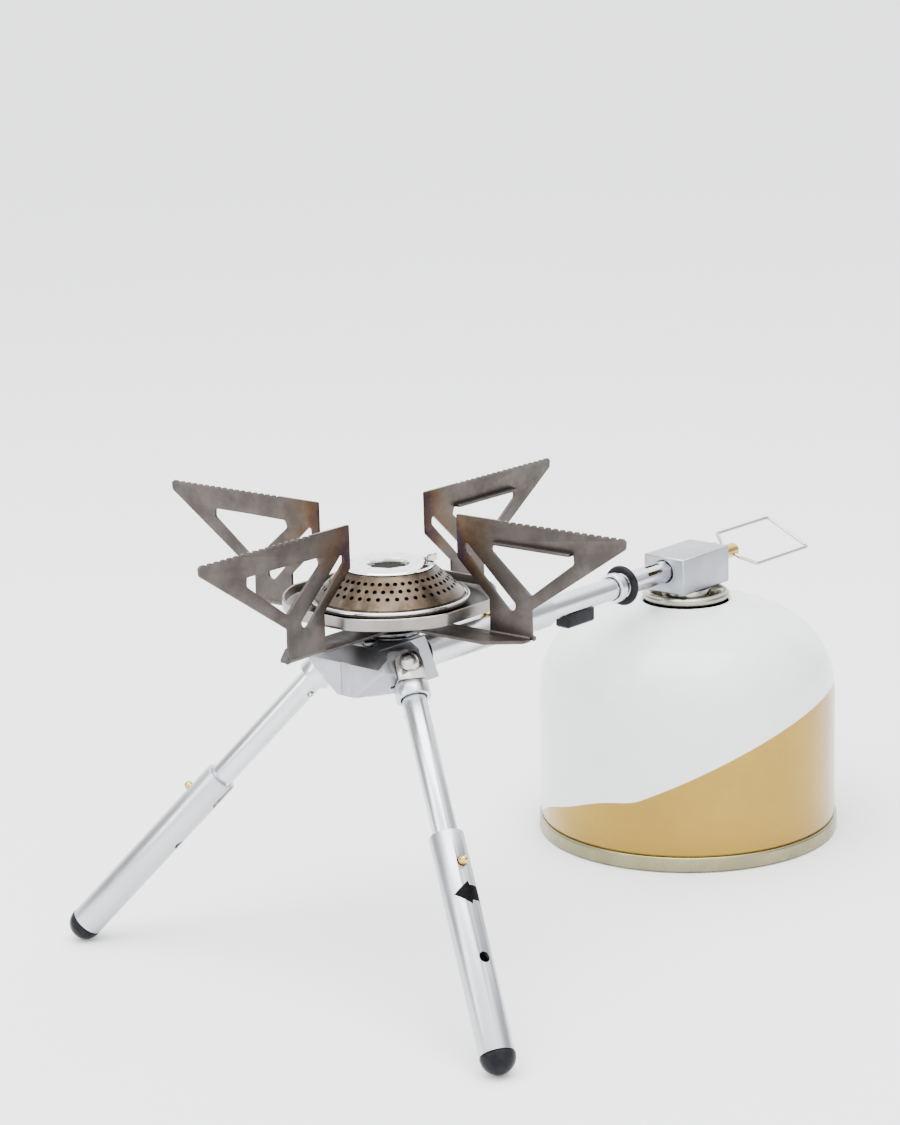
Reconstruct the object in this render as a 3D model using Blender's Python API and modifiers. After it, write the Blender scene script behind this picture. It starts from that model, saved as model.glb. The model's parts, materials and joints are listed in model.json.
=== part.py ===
"""Camping stove with a remote gas canister: two telescopic folding legs, a crossed pot support that
folds, a level arm that carries the gas, a valve block with a wire handle, and the screw-on canister.

Metres, +Z up, +X along the arm towards the canister. The origin is on the ground, at the middle of
the object's box. Every piece is one object, and the legs are parented to an empty on their pivot."""

from math import cos, pi, radians, sin

import bmesh
import bpy
from mathutils import Matrix, Vector

MM = 0.001
GAP = 0.3 * MM
RUNNING_GAP = 0.09 * MM

# Where the main axes are. The burner's axis is vertical and the arm's is level.
TIP_RADIUS = 90 * MM
HANDLE_END = 224.2 * MM
BURNER_X = (TIP_RADIUS - HANDLE_END) / 2
ARM_Z = 99 * MM
SUPPORT_TOP = 150 * MM
CANISTER_X = BURNER_X + 158.8 * MM

# Legs: the pivot's place from the burner's axis, and how the leg leans out from it.
PIVOT_RADIUS = 18.3 * MM
PIVOT_Z = 101.7 * MM
LEG_AZIMUTH = radians(122.4)
LEG_TILT = radians(43.0)
FOOT_RADIUS = 5.65 * MM
UPPER_TUBE_RADIUS = 4.0 * MM
LOWER_TUBE_RADIUS = 5.5 * MM
LOWER_TUBE_BORE = 4.11 * MM
COLLAR_RADIUS = 5.65 * MM
COLLAR_TOP = 5.0 * MM
COLLAR_LENGTH = 5.0 * MM
UPPER_TUBE_END = 76.5 * MM
LOWER_TUBE_START = 59.1 * MM
BUTTON_AT = 70.0 * MM
LEG_TRAVEL = 31.7 * MM
BUTTON_TIP = 7.7 * MM
BUTTON_TURN = radians(18.5)
EAR_INSIDE = 3.2 * MM
EAR_THICKNESS = 1.1 * MM
EAR_RADIUS = 4.5 * MM
RIVET_RADIUS = 1.5 * MM
SEAT_THICKNESS = 1.0 * MM
UPPER_TUBE_BORE = 3.2 * MM
PIN_AT = 15.6 * MM
PIN_TURN = radians(140)
FAR_HOLE_AT = 86.7 * MM
NOTCH_LENGTH = 7.5 * MM
HOLE_RADIUS = 1.8 * MM
BUTTON_RADIUS = 1.5 * MM
FOOT_PLUG = 12 * MM

# Hub
HUB_BACK = 22 * MM
HUB_FRONT = 13 * MM
HUB_HALF_WIDTH = 8.8 * MM
HUB_BOTTOM = 92.4 * MM
HUB_TOP = 107.5 * MM
HUB_STEP = 0.25 * MM
WING_FACE = 4.5 * MM
WING_OUTSIDE = 5.3 * MM
LUG_HALF = 2.9 * MM
LUG_RADIUS = 4.6 * MM
SWING_RADIUS = 7.2 * MM
COLUMN_RADIUS = 4.7 * MM
HUB_SCREW_AT = (BURNER_X - 12.5 * MM, -2.2 * MM, 0)
BEVEL_START = 103.4 * MM

# Pot supports: two bars cross on the column, each with a fin at either end.
SHEET = 1.0 * MM
BAR_HALF_WIDTH = 6 * MM
BAR_REACH = 53 * MM
TAPER_START = 43 * MM
TIP_EDGE = 1.5 * MM
LOWER_BAR_Z = 111.2 * MM
UPPER_BAR_Z = 112.5 * MM
LOWER_BAR_ANGLE = radians(0.7)
UPPER_BAR_ANGLE = radians(92.3)

# Burner
DISH_RADIUS = 34.6 * MM
DISH_FLAT = 33.1 * MM
DISH_TOP = 122 * MM
DISH_FLOOR = 118 * MM
DISH_HOLE = 8 * MM
DISH_STEPS = 48
CAP_RADIUS = 15 * MM
CAP_TOP = 131.5 * MM
CONE_RADIUS = 25 * MM
RECESS_RADIUS = 6.6 * MM
SPARK_HOOD_AT = (BURNER_X + 10.4 * MM, -9.4 * MM, CAP_TOP + 0.9 * MM)
RIM_RADIUS = 26.2 * MM

# Arm, from the burner's axis
SLEEVE_RADIUS = 5.7 * MM
SLEEVE_END = 78 * MM
TUBE_RADIUS = 4 * MM
PAD_START = 87 * MM
PAD_END = 102 * MM
RING_AT = 121 * MM
PLUG_AT = (BURNER_X + 47.5 * MM, 0, ARM_Z)
SLOT_START = 133 * MM
SLOT_LENGTH = 8 * MM
SLOT_TURN = radians(35)

# Valve block and handle, from the burner's axis
BLOCK_START = 145.5 * MM
BLOCK_END = 173.5 * MM
BLOCK_HALF_WIDTH = 9 * MM
BLOCK_BOTTOM = 91 * MM
BLOCK_TOP = 104.5 * MM
SPINDLE_Z = 98.6 * MM
SPINDLE_RADIUS = 2.6 * MM
SPINDLE_END = 189 * MM
HANDLE_PIVOT = 186.6 * MM
HANDLE_START = 190.7 * MM
HANDLE_HALF_WIDTH = 10.2 * MM
HANDLE_TURN = radians(25.8)
WIRE_RADIUS = 0.7 * MM

# Canister
WALL_RADIUS = 54.2 * MM
SEAM_RADIUS = 55 * MM
CURL_RADIUS = 15.9 * MM
STUB_RADIUS = 5.5 * MM
SHELL_WALL = 0.8 * MM

LEGS = {"right": -1, "left": 1}


def clear_scene():
    for thing in list(bpy.data.objects):
        bpy.data.objects.remove(thing, do_unlink=True)


def new_collection(name):
    collection = bpy.data.collections.new(name)
    bpy.context.scene.collection.children.link(collection)
    return collection


def material(name, colour, metallic, roughness):
    found = bpy.data.materials.get(name)
    if found:
        return found
    made = bpy.data.materials.new(name)
    made.use_nodes = True
    shader = made.node_tree.nodes["Principled BSDF"]
    shader.inputs["Base Color"].default_value = (*colour, 1)
    shader.inputs["Metallic"].default_value = metallic
    shader.inputs["Roughness"].default_value = roughness
    made.diffuse_color = (*colour, 1)
    return made


def aluminium():
    return material("aluminium", (0.75, 0.76, 0.78), 1, 0.35)


def steel():
    return material("steel", (0.48, 0.45, 0.42), 1, 0.4)


def bright_steel():
    return material("bright_steel", (0.7, 0.69, 0.67), 1, 0.25)


def dark_steel():
    return material("dark_steel", (0.16, 0.16, 0.17), 1, 0.4)


def burner_steel():
    return material("burner_steel", (0.42, 0.35, 0.29), 1, 0.4)


def brass():
    return material("brass", (0.75, 0.55, 0.25), 1, 0.3)


def rubber():
    return material("rubber", (0.02, 0.02, 0.025), 0, 0.6)


def paint():
    return material("paint", (0.85, 0.86, 0.85), 0, 0.25)


def add(name, mesh, look, at=(0, 0, 0), turn=(0, 0, 0)):
    """A named object of the stove."""
    made = bpy.data.objects.new(name, mesh)
    STOVE.objects.link(made)
    made.location = at
    made.rotation_euler = turn
    if look:
        mesh.materials.clear()
        mesh.materials.append(look)
    return made


def welded(mesh):
    """Closes the hairline seams that a cut or a curve's caps leave, and turns the faces outward."""
    solid = bmesh.new()
    solid.from_mesh(mesh)
    bmesh.ops.remove_doubles(solid, verts=solid.verts, dist=2e-6)
    bmesh.ops.dissolve_degenerate(solid, dist=1e-6, edges=solid.edges)
    bmesh.ops.recalc_face_normals(solid, faces=solid.faces)
    solid.to_mesh(mesh)
    solid.free()
    return mesh


def bake(thing):
    """Turns an object with modifiers, or a curve, into a plain welded mesh in the same place."""
    bpy.context.view_layer.update()
    graph = bpy.context.evaluated_depsgraph_get()
    mesh = welded(bpy.data.meshes.new_from_object(thing.evaluated_get(graph)))
    name = thing.name
    place = thing.matrix_world.copy()
    parent = thing.parent
    bpy.data.objects.remove(thing, do_unlink=True)
    made = bpy.data.objects.new(name, mesh)
    STOVE.objects.link(made)
    made.matrix_world = place
    if parent:
        made.parent = parent
        made.matrix_parent_inverse.identity()
        made.matrix_local = place
    return made


def combine(body, tool, how="UNION"):
    """Joins a tool to the body or cuts it away, and keeps the result as a plain mesh."""
    boolean = body.modifiers.new(how.lower(), "BOOLEAN")
    boolean.operation = how
    boolean.solver = "EXACT"
    boolean.object = tool
    bpy.context.view_layer.update()
    graph = bpy.context.evaluated_depsgraph_get()
    mesh = welded(bpy.data.meshes.new_from_object(body.evaluated_get(graph)))
    body.modifiers.clear()
    body.data = mesh
    bpy.data.objects.remove(tool, do_unlink=True)
    return body


def cut(body, *tools):
    for tool in tools:
        combine(body, tool, "DIFFERENCE")
    return body


def join(body, *tools):
    for tool in tools:
        combine(body, tool)
    return body


def turned(name, profile, look=None, at=(0, 0, 0), turn=(0, 0, 0), steps=32):
    """A turned piece. The profile lists (radius, height) down the outside from the top. It closes on
    the axis when it starts there, and otherwise back on its first point, which leaves a bore."""
    mesh = bpy.data.meshes.new(name)
    points = [(radius, 0, height) for radius, height in profile]
    edges = [(i, i + 1) for i in range(len(points) - 1)]
    if profile[0][0] > 0:
        edges.append((len(points) - 1, 0))
    mesh.from_pydata(points, edges, [])
    made = add(name, mesh, look)
    screw = made.modifiers.new("turn", "SCREW")
    screw.steps = steps
    screw.render_steps = steps
    screw.use_merge_vertices = True
    screw.merge_threshold = 1e-6
    made = bake(made)
    made.data.materials.clear()
    if look:
        made.data.materials.append(look)
    made.data.shade_smooth()
    made.data.set_sharp_from_angle(angle=radians(35))
    made.location = at
    made.rotation_euler = turn
    return made


def rod(name, radius, low, high, look=None, at=(0, 0, 0), turn=(0, 0, 0), steps=24):
    profile = [(0, high), (radius, high), (radius, low), (0, low)]
    return turned(name, profile, look, at, turn, steps)


def pipe(name, radius, bore, low, high, look=None, at=(0, 0, 0), turn=(0, 0, 0), steps=24):
    profile = [(radius, high), (radius, low), (bore, low), (bore, high)]
    return turned(name, profile, look, at, turn, steps)


def box(name, low, high, look=None, bevel=0):
    """A box between two corners, with its edges broken when a bevel is given."""
    mesh = bpy.data.meshes.new(name)
    cube = bmesh.new()
    bmesh.ops.create_cube(cube, size=1)
    for vertex in cube.verts:
        for axis in range(3):
            vertex.co[axis] = low[axis] if vertex.co[axis] < 0 else high[axis]
    if bevel:
        bmesh.ops.bevel(cube, geom=cube.edges[:], offset=bevel, segments=1, affect="EDGES")
    bmesh.ops.recalc_face_normals(cube, faces=cube.faces)
    cube.to_mesh(mesh)
    cube.free()
    return add(name, mesh, look)


def slice_off(thing, point, normal):
    """Cuts a convex mesh with a plane and keeps the side that the normal points away from."""
    solid = bmesh.new()
    solid.from_mesh(thing.data)
    everything = solid.verts[:] + solid.edges[:] + solid.faces[:]
    bmesh.ops.bisect_plane(
        solid, geom=everything, plane_co=point, plane_no=normal, clear_outer=True, dist=1e-7
    )
    open_edges = [edge for edge in solid.edges if edge.is_boundary]
    bmesh.ops.holes_fill(solid, edges=open_edges)
    bmesh.ops.recalc_face_normals(solid, faces=solid.faces)
    solid.to_mesh(thing.data)
    solid.free()
    return thing


def plate(name, outlines, thickness, look=None):
    """A flat sheet in the XY plane, from z = 0 up. Outlines after the first are its openings."""
    curve = bpy.data.curves.new(name, "CURVE")
    curve.dimensions = "2D"
    curve.fill_mode = "BOTH"
    curve.extrude = thickness / 2
    for outline in outlines:
        spline = curve.splines.new("POLY")
        spline.points.add(len(outline) - 1)
        for point, (x, y) in zip(spline.points, outline):
            point.co = (x, y, 0, 1)
        spline.use_cyclic_u = True
    made = bpy.data.objects.new(name, curve)
    STOVE.objects.link(made)
    made.location.z = thickness / 2
    made = bake(made)
    made.data.transform(made.matrix_world)
    made.matrix_world.identity()
    made.location = (0, 0, 0)
    made.data.materials.clear()
    if look:
        made.data.materials.append(look)
    return made


def wire(name, points, radius, look, cyclic=False):
    curve = bpy.data.curves.new(name, "CURVE")
    curve.dimensions = "3D"
    curve.bevel_depth = radius
    curve.bevel_resolution = 2
    curve.use_fill_caps = True
    spline = curve.splines.new("POLY")
    spline.points.add(len(points) - 1)
    for point, place in zip(spline.points, points):
        point.co = (*place, 1)
    spline.use_cyclic_u = cyclic
    made = bpy.data.objects.new(name, curve)
    STOVE.objects.link(made)
    made = bake(made)
    made.data.materials.clear()
    made.data.materials.append(look)
    made.data.shade_smooth()
    made.data.set_sharp_from_angle(angle=radians(50))
    return made


def arc(centre, radius, start, end, steps):
    """Points along an arc in a plane, with both of its ends. Angles are in degrees."""
    angles = [radians(start + (end - start) * i / steps) for i in range(steps + 1)]
    return [(centre[0] + radius * cos(a), centre[1] + radius * sin(a)) for a in angles]


def bend(corners, radius, steps=4):
    """A path through corners that are rounded off, as a wire is bent."""
    path = [Vector(corners[0])]
    for before, corner, after in zip(corners, corners[1:], corners[2:]):
        here = Vector(corner)
        back = (Vector(before) - here).normalized()
        on = (Vector(after) - here).normalized()
        half = back.angle(on) / 2
        reach = radius / sin(half) * cos(half)
        middle = here + (back + on).normalized() * radius / sin(half)
        start = here + back * reach - middle
        end = here + on * reach - middle
        for i in range(steps + 1):
            path.append(middle + start.slerp(end, i / steps).normalized() * radius)
    path.append(Vector(corners[-1]))
    return path


def leg_frame(side):
    """The pivot's place, then the leg's own axes: outward along the pivot, sideways, and up the leg."""
    azimuth = side * LEG_AZIMUTH
    radial = Vector((cos(azimuth), sin(azimuth), 0))
    upward = Vector((0, 0, 1))
    pivot = Vector((BURNER_X, 0, PIVOT_Z)) + radial * PIVOT_RADIUS
    outward = radial * cos(LEG_TILT) + upward * sin(LEG_TILT)
    along = upward * cos(LEG_TILT) - radial * sin(LEG_TILT)
    return pivot, outward, along.cross(outward), along


def leg_matrix(side):
    pivot, outward, sideways, along = leg_frame(side)
    turn = Matrix((outward, sideways, along)).transposed().to_4x4()
    return Matrix.Translation(pivot) @ turn


def place(thing, matrix):
    bpy.context.view_layer.update()
    thing.matrix_world = matrix @ thing.matrix_world
    bpy.context.view_layer.update()
    return thing


def lug_corner(side):
    """What the lug loses at its corner, so that the strap's seat clears it as the leg swings."""
    near, far = sorted((0, -side * 8 * MM))
    corner = box("lug_corner", (-LUG_HALF - 1 * MM, near, -8 * MM), (LUG_HALF + 1 * MM, far, 0))
    return cut(corner, rod("lug_round", LUG_RADIUS, -9 * MM, 9 * MM, turn=(0, pi / 2, 0)))


def wing(side):
    """The part of the hub that carries one leg, cut square to the leg and open for its swing."""
    pivot, outward, sideways, along = leg_frame(side)
    swing = sideways * -side
    near, far = sorted((side * 2 * MM, side * 26 * MM))
    low = (BURNER_X - HUB_BACK, near, HUB_BOTTOM + HUB_STEP)
    high = (BURNER_X + HUB_FRONT - 3 * MM, far, HUB_TOP - HUB_STEP)
    body = box("wing", low, high)
    slice_off(body, pivot - along * WING_FACE, -along)
    slice_off(body, pivot + outward * WING_OUTSIDE, outward)
    slice_off(body, pivot + swing * EAR_RADIUS, swing)
    matrix = leg_matrix(side)
    outside = rod("ear_room", SWING_RADIUS, LUG_HALF, 12 * MM, turn=(0, pi / 2, 0))
    inside = rod("ear_slot", SWING_RADIUS, -LUG_HALF - 1.8 * MM, -LUG_HALF, turn=(0, pi / 2, 0))
    tail = rod("tail_room", 3.6 * MM, -LUG_HALF - 3 * MM, -LUG_HALF - 1 * MM, turn=(0, pi / 2, 0))
    hole = rod("rivet_hole", RIVET_RADIUS + RUNNING_GAP, -12 * MM, 12 * MM, turn=(0, pi / 2, 0))
    for tool in (outside, inside, tail, hole, lug_corner(side)):
        place(tool, matrix)
        cut(body, tool)
    return body


def hub():
    low = (BURNER_X - HUB_BACK + HUB_STEP, -HUB_HALF_WIDTH, HUB_BOTTOM)
    high = (BURNER_X + HUB_FRONT, HUB_HALF_WIDTH, HUB_TOP)
    body = box("hub_block", low, high, aluminium())
    slice_off(body, (BURNER_X + HUB_FRONT, 0, HUB_BOTTOM), (0.92, 0, 0.39))
    for side in LEGS.values():
        pivot, _, _, along = leg_frame(side)
        slice_off(body, pivot - along * (WING_FACE - HUB_STEP), -along)
    join(body, *(wing(side) for side in LEGS.values()))
    bevel = box("bevel", (-30 * MM, -40 * MM, 0), (30 * MM, 40 * MM, 10 * MM))
    bevel.location = (BURNER_X - HUB_BACK, 0, BEVEL_START)
    bevel.rotation_euler.y = radians(-30)
    column_bore = rod("column_bore", COLUMN_RADIUS + GAP, 98 * MM, 120 * MM, at=(BURNER_X, 0, 0))
    arm_bore = rod(
        "arm_bore", 4.3 * MM, 0, 30 * MM, at=(BURNER_X + 1 * MM, 0, ARM_Z), turn=(0, pi / 2, 0)
    )
    screw_hole = rod("screw_hole", 1.5 * MM, 101 * MM, 120 * MM, at=HUB_SCREW_AT, steps=12)
    cut(body, bevel, column_bore, arm_bore, screw_hole)
    return body


def clevis(name):
    """A folded steel strap: two ears beside the hub's lug, on a seat that the tube's collar holds."""
    ear_top = arc((0, 0), EAR_RADIUS, 0, 180, 8)
    ear = [(EAR_RADIUS, -COLLAR_TOP), *ear_top, (-EAR_RADIUS, -COLLAR_TOP)]
    hole = arc((0, 0), RIVET_RADIUS + RUNNING_GAP, 0, 345, 23)
    outer = EAR_INSIDE + EAR_THICKNESS
    body = box(
        name,
        (-outer, -EAR_RADIUS, -COLLAR_TOP - SEAT_THICKNESS),
        (outer, EAR_RADIUS, -COLLAR_TOP),
        bright_steel(),
    )
    for start in (EAR_INSIDE, -outer):
        sheet = plate("ear", [ear, hole], EAR_THICKNESS)
        # The plate stands up along the leg, with its thickness along the pivot.
        sheet.matrix_world = Matrix.Translation((start, 0, 0)) @ Matrix(
            ((0, 0, 1, 0), (1, 0, 0, 0), (0, 1, 0, 0), (0, 0, 0, 1))
        )
        join(body, sheet)
    return body


def leg(name, side):
    """One leg, made along its own -Z from the pivot, then turned into place."""
    prefix = f"{name}_leg_"
    foot_at = (PIVOT_Z - FOOT_RADIUS) / cos(LEG_TILT)
    button_turn = -side * BUTTON_TURN
    collar_high = -COLLAR_TOP - SEAT_THICKNESS - GAP
    collar_low = collar_high - COLLAR_LENGTH
    tube_seat = collar_low + 3 * MM
    strap = clevis(prefix + "clevis")
    outer = EAR_INSIDE + EAR_THICKNESS
    rivet = turned(
        prefix + "pivot_rivet",
        [(0, outer + 2.3 * MM), (1.6 * MM, outer + 2.0 * MM), (2.9 * MM, outer + 1.2 * MM)]
        + [(3.4 * MM, outer + GAP), (RIVET_RADIUS, outer + GAP), (RIVET_RADIUS, -outer - GAP)]
        + [(2.7 * MM, -outer - GAP), (2.4 * MM, -outer - 1.0 * MM), (0, -outer - 1.0 * MM)],
        bright_steel(),
        turn=(0, pi / 2, 0),
        steps=24,
    )
    collar = turned(
        prefix + "collar",
        [(0, collar_high), (COLLAR_RADIUS - 0.5 * MM, collar_high)]
        + [(COLLAR_RADIUS, collar_high - 0.5 * MM), (COLLAR_RADIUS, collar_low)]
        + [(UPPER_TUBE_RADIUS + GAP, collar_low), (UPPER_TUBE_RADIUS + GAP, tube_seat)]
        + [(0, tube_seat)],
        aluminium(),
    )
    upper = pipe(
        prefix + "upper_tube",
        UPPER_TUBE_RADIUS,
        UPPER_TUBE_BORE,
        -UPPER_TUBE_END,
        tube_seat - GAP,
        aluminium(),
    )
    pin_at = Matrix.Rotation(side * PIN_TURN, 4, "Z") @ Matrix.Translation((0, 0, -PIN_AT))
    pin_hole = place(rod("pin_hole", 1.2 * MM, 1 * MM, 6 * MM, turn=(0, pi / 2, 0), steps=12), pin_at)
    pin = turned(
        prefix + "tube_pin",
        [(0, 4.9 * MM), (0.7 * MM, 4.7 * MM), (0.9 * MM, 4.4 * MM), (0.9 * MM, 2.6 * MM), (0, 2.6 * MM)],
        bright_steel(),
        turn=(0, pi / 2, 0),
        steps=12,
    )
    place(pin, pin_at)
    button_at = Matrix.Rotation(button_turn, 4, "Z") @ Matrix.Translation((0, 0, -BUTTON_AT))
    button = turned(
        prefix + "lock_button",
        [(0, BUTTON_TIP), (0.8 * MM, BUTTON_TIP - 0.2 * MM), (1.4 * MM, BUTTON_TIP - 0.8 * MM)]
        + [(BUTTON_RADIUS, BUTTON_TIP - 1.4 * MM), (BUTTON_RADIUS, 1.8 * MM), (1.9 * MM, 1.8 * MM)]
        + [(1.9 * MM, 1.2 * MM), (0, 1.2 * MM)],
        brass(),
        turn=(0, pi / 2, 0),
        steps=16,
    )
    place(button, button_at)
    button_hole = rod(
        "button_hole", BUTTON_RADIUS + RUNNING_GAP, 0, 9 * MM, turn=(0, pi / 2, 0), steps=16
    )
    place(button_hole, button_at)
    spring = wire(
        prefix + "button_spring",
        [(cos(a) * 1.2 * MM, sin(a) * 1.2 * MM, a / (2 * pi) * 1.1 * MM) for a in spiral(2.5, 8)],
        0.25 * MM,
        dark_steel(),
    )
    place(spring, button_at @ Matrix.Translation((-2.4 * MM, 0, 0)) @ Matrix.Rotation(pi / 2, 4, "Y"))
    cut(upper, pin_hole, button_hole)
    lower = pipe(
        prefix + "lower_tube",
        LOWER_TUBE_RADIUS,
        LOWER_TUBE_BORE,
        -foot_at + 0.6 * MM,
        -LOWER_TUBE_START,
        aluminium(),
    )
    hole_turn = Matrix.Rotation(button_turn, 4, "Z")
    for low, high, down in (
        (0, 9 * MM, BUTTON_AT),
        (0, 9 * MM, BUTTON_AT + LEG_TRAVEL),
        (-9 * MM, 0, FAR_HOLE_AT),
        (-9 * MM, 0, LOWER_TUBE_START + NOTCH_LENGTH),
    ):
        hole = rod("tube_hole", HOLE_RADIUS, low, high, turn=(0, pi / 2, 0), steps=16)
        cut(lower, place(hole, hole_turn @ Matrix.Translation((0, 0, -down))))
    notch = box(
        "notch",
        (-9 * MM, -1.7 * MM, -LOWER_TUBE_START - NOTCH_LENGTH),
        (0, 1.7 * MM, -LOWER_TUBE_START + 2 * MM),
    )
    cut(lower, place(notch, hole_turn))
    foot = turned(
        prefix + "foot",
        [(0, FOOT_PLUG - foot_at), (3.6 * MM, FOOT_PLUG - foot_at)]
        + [(4.0 * MM, FOOT_PLUG - 1 * MM - foot_at)]
        + [(4.0 * MM, 0.3 * MM - foot_at), (FOOT_RADIUS, 0.3 * MM - foot_at)]
        + [
            (FOOT_RADIUS * cos(radians(a)), -foot_at - FOOT_RADIUS * sin(radians(a)))
            for a in (0, 15, 30, 46, 60, 75)
        ]
        + [(0, -foot_at - FOOT_RADIUS)],
        rubber(),
        steps=24,
    )
    hinge = bpy.data.objects.new(prefix + "pivot", None)
    STOVE.objects.link(hinge)
    hinge.matrix_world = leg_matrix(side)
    bpy.context.view_layer.update()
    for piece in (strap, rivet, collar, upper, pin, button, spring, lower, foot):
        piece.parent = hinge


def spiral(turns, steps):
    count = int(turns * steps)
    return [2 * pi * turns * i / count for i in range(count + 1)]


def fin_outline(floor):
    """The fin seen from its side: radius and height from the burner's axis, with its two openings."""
    outline = [
        (37, floor), (53, floor), (54.6, floor + 0.3), (54.6, floor + 1.8), (53.6, floor + 1.6),
        (53.4, 122.5), (89.8, 146.8), (90, 149.2), (89, 150), (24.4, 150), (24.4, 136), (37, 124.5),
    ]
    window = [(39, 142.3), (38, 140), (53.5, 127.2), (70.5, 139.7), (70.3, 142.7)]
    slot = [(27.6, 142.2), (27.4, 138.6), (44.2, 122.0)]
    slot += arc((45.6, 123.2), 1.8, 210, 390, 6)
    shapes = [outline, window, slot]
    return [[(x * MM, y * MM) for x, y in shape] for shape in shapes]


def support_bar(name, floor, angle):
    """A bar with two arms. Each arm is a flat strip with a fin bent up along its edge."""
    half = [(TAPER_START, -BAR_HALF_WIDTH), (BAR_REACH, TIP_EDGE), (BAR_REACH, BAR_HALF_WIDTH)]
    strip = half + [(-x, -y) for x, y in half]
    centre_hole = arc((0, 0), COLUMN_RADIUS + RUNNING_GAP, 0, 345, 23)
    body = plate(name, [strip, centre_hole], SHEET, steel())
    body.data.transform(Matrix.Translation((0, 0, floor)))
    for half_turn in (0, pi):
        fin = plate("fin", fin_outline(floor / MM), SHEET)
        # The sheet stands on the strip's edge: its second axis goes up and its thickness inwards.
        fin.data.transform(
            Matrix(((1, 0, 0, 0), (0, 0, -1, BAR_HALF_WIDTH), (0, 1, 0, 0), (0, 0, 0, 1)))
        )
        lip_low = (39.3 * MM, BAR_HALF_WIDTH - 3 * MM, 142.3 * MM)
        lip_high = (70 * MM, BAR_HALF_WIDTH - SHEET / 2, 143.3 * MM)
        lip = box("lip", lip_low, lip_high)
        join(fin, lip)
        fin.rotation_euler.z = half_turn
        join(body, fin)
    body.location.x = BURNER_X
    body.rotation_euler.z = angle
    return body


def column():
    at = (BURNER_X, 0, 0)
    turned(
        "burner_column",
        [(COLUMN_RADIUS, 113.8 * MM), (COLUMN_RADIUS, 100 * MM), (3 * MM, 100 * MM)]
        + [(3 * MM, 117.2 * MM), (12 * MM, 117.2 * MM), (12 * MM, 113.8 * MM)],
        bright_steel(),
        at,
    )
    turned(
        "column_washer",
        [(11 * MM, 110.9 * MM), (11 * MM, 110.1 * MM), (5 * MM, 110.1 * MM), (5 * MM, 110.9 * MM)],
        dark_steel(),
        at,
    )
    coil = [
        (BURNER_X + cos(a) * 9 * MM, sin(a) * 9 * MM, 108.4 * MM + a / (2 * pi) * 0.85 * MM)
        for a in spiral(0.95, 24)
    ]
    wire("bar_spring", coil, 0.55 * MM, dark_steel())
    turned(
        "hub_screw",
        [(0, 109.6 * MM), (1.6 * MM, 109.5 * MM), (2.2 * MM, 109.0 * MM), (2.2 * MM, 107.8 * MM)]
        + [(1.2 * MM, 107.8 * MM), (1.2 * MM, 101.3 * MM), (0, 101.3 * MM)],
        dark_steel(),
        HUB_SCREW_AT,
        steps=12,
    )


def dish_radius(angle):
    """The dish is round with a flat where each fin passes it."""
    quarter = pi / 2
    off = (angle - LOWER_BAR_ANGLE + quarter / 2) % quarter - quarter / 2
    return min(DISH_RADIUS, DISH_FLAT / cos(off))


def dish():
    rings = [(0, DISH_TOP), (0, DISH_FLOOR + 0.9 * MM), (-0.9 * MM, DISH_FLOOR)]
    angles = [2 * pi * i / DISH_STEPS for i in range(DISH_STEPS)]
    surface = bmesh.new()
    loops = []
    for inset, height in rings:
        points = [(dish_radius(a) + inset, a) for a in angles]
        loops.append([surface.verts.new((r * cos(a), r * sin(a), height)) for r, a in points])
    bore = [(DISH_HOLE * cos(a), DISH_HOLE * sin(a), DISH_FLOOR) for a in angles]
    loops.append([surface.verts.new(point) for point in bore])
    for upper, lower in zip(loops, loops[1:]):
        for i in range(DISH_STEPS):
            j = (i + 1) % DISH_STEPS
            surface.faces.new((upper[i], lower[i], lower[j], upper[j]))
    mesh = bpy.data.meshes.new("drip_dish")
    surface.to_mesh(mesh)
    surface.free()
    made = add("drip_dish", mesh, None, (BURNER_X, 0, 0))
    thick = made.modifiers.new("sheet", "SOLIDIFY")
    thick.thickness = 0.7 * MM
    thick.offset = -1
    made = bake(made)
    made.data.materials.clear()
    made.data.materials.append(steel())
    return made


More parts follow.
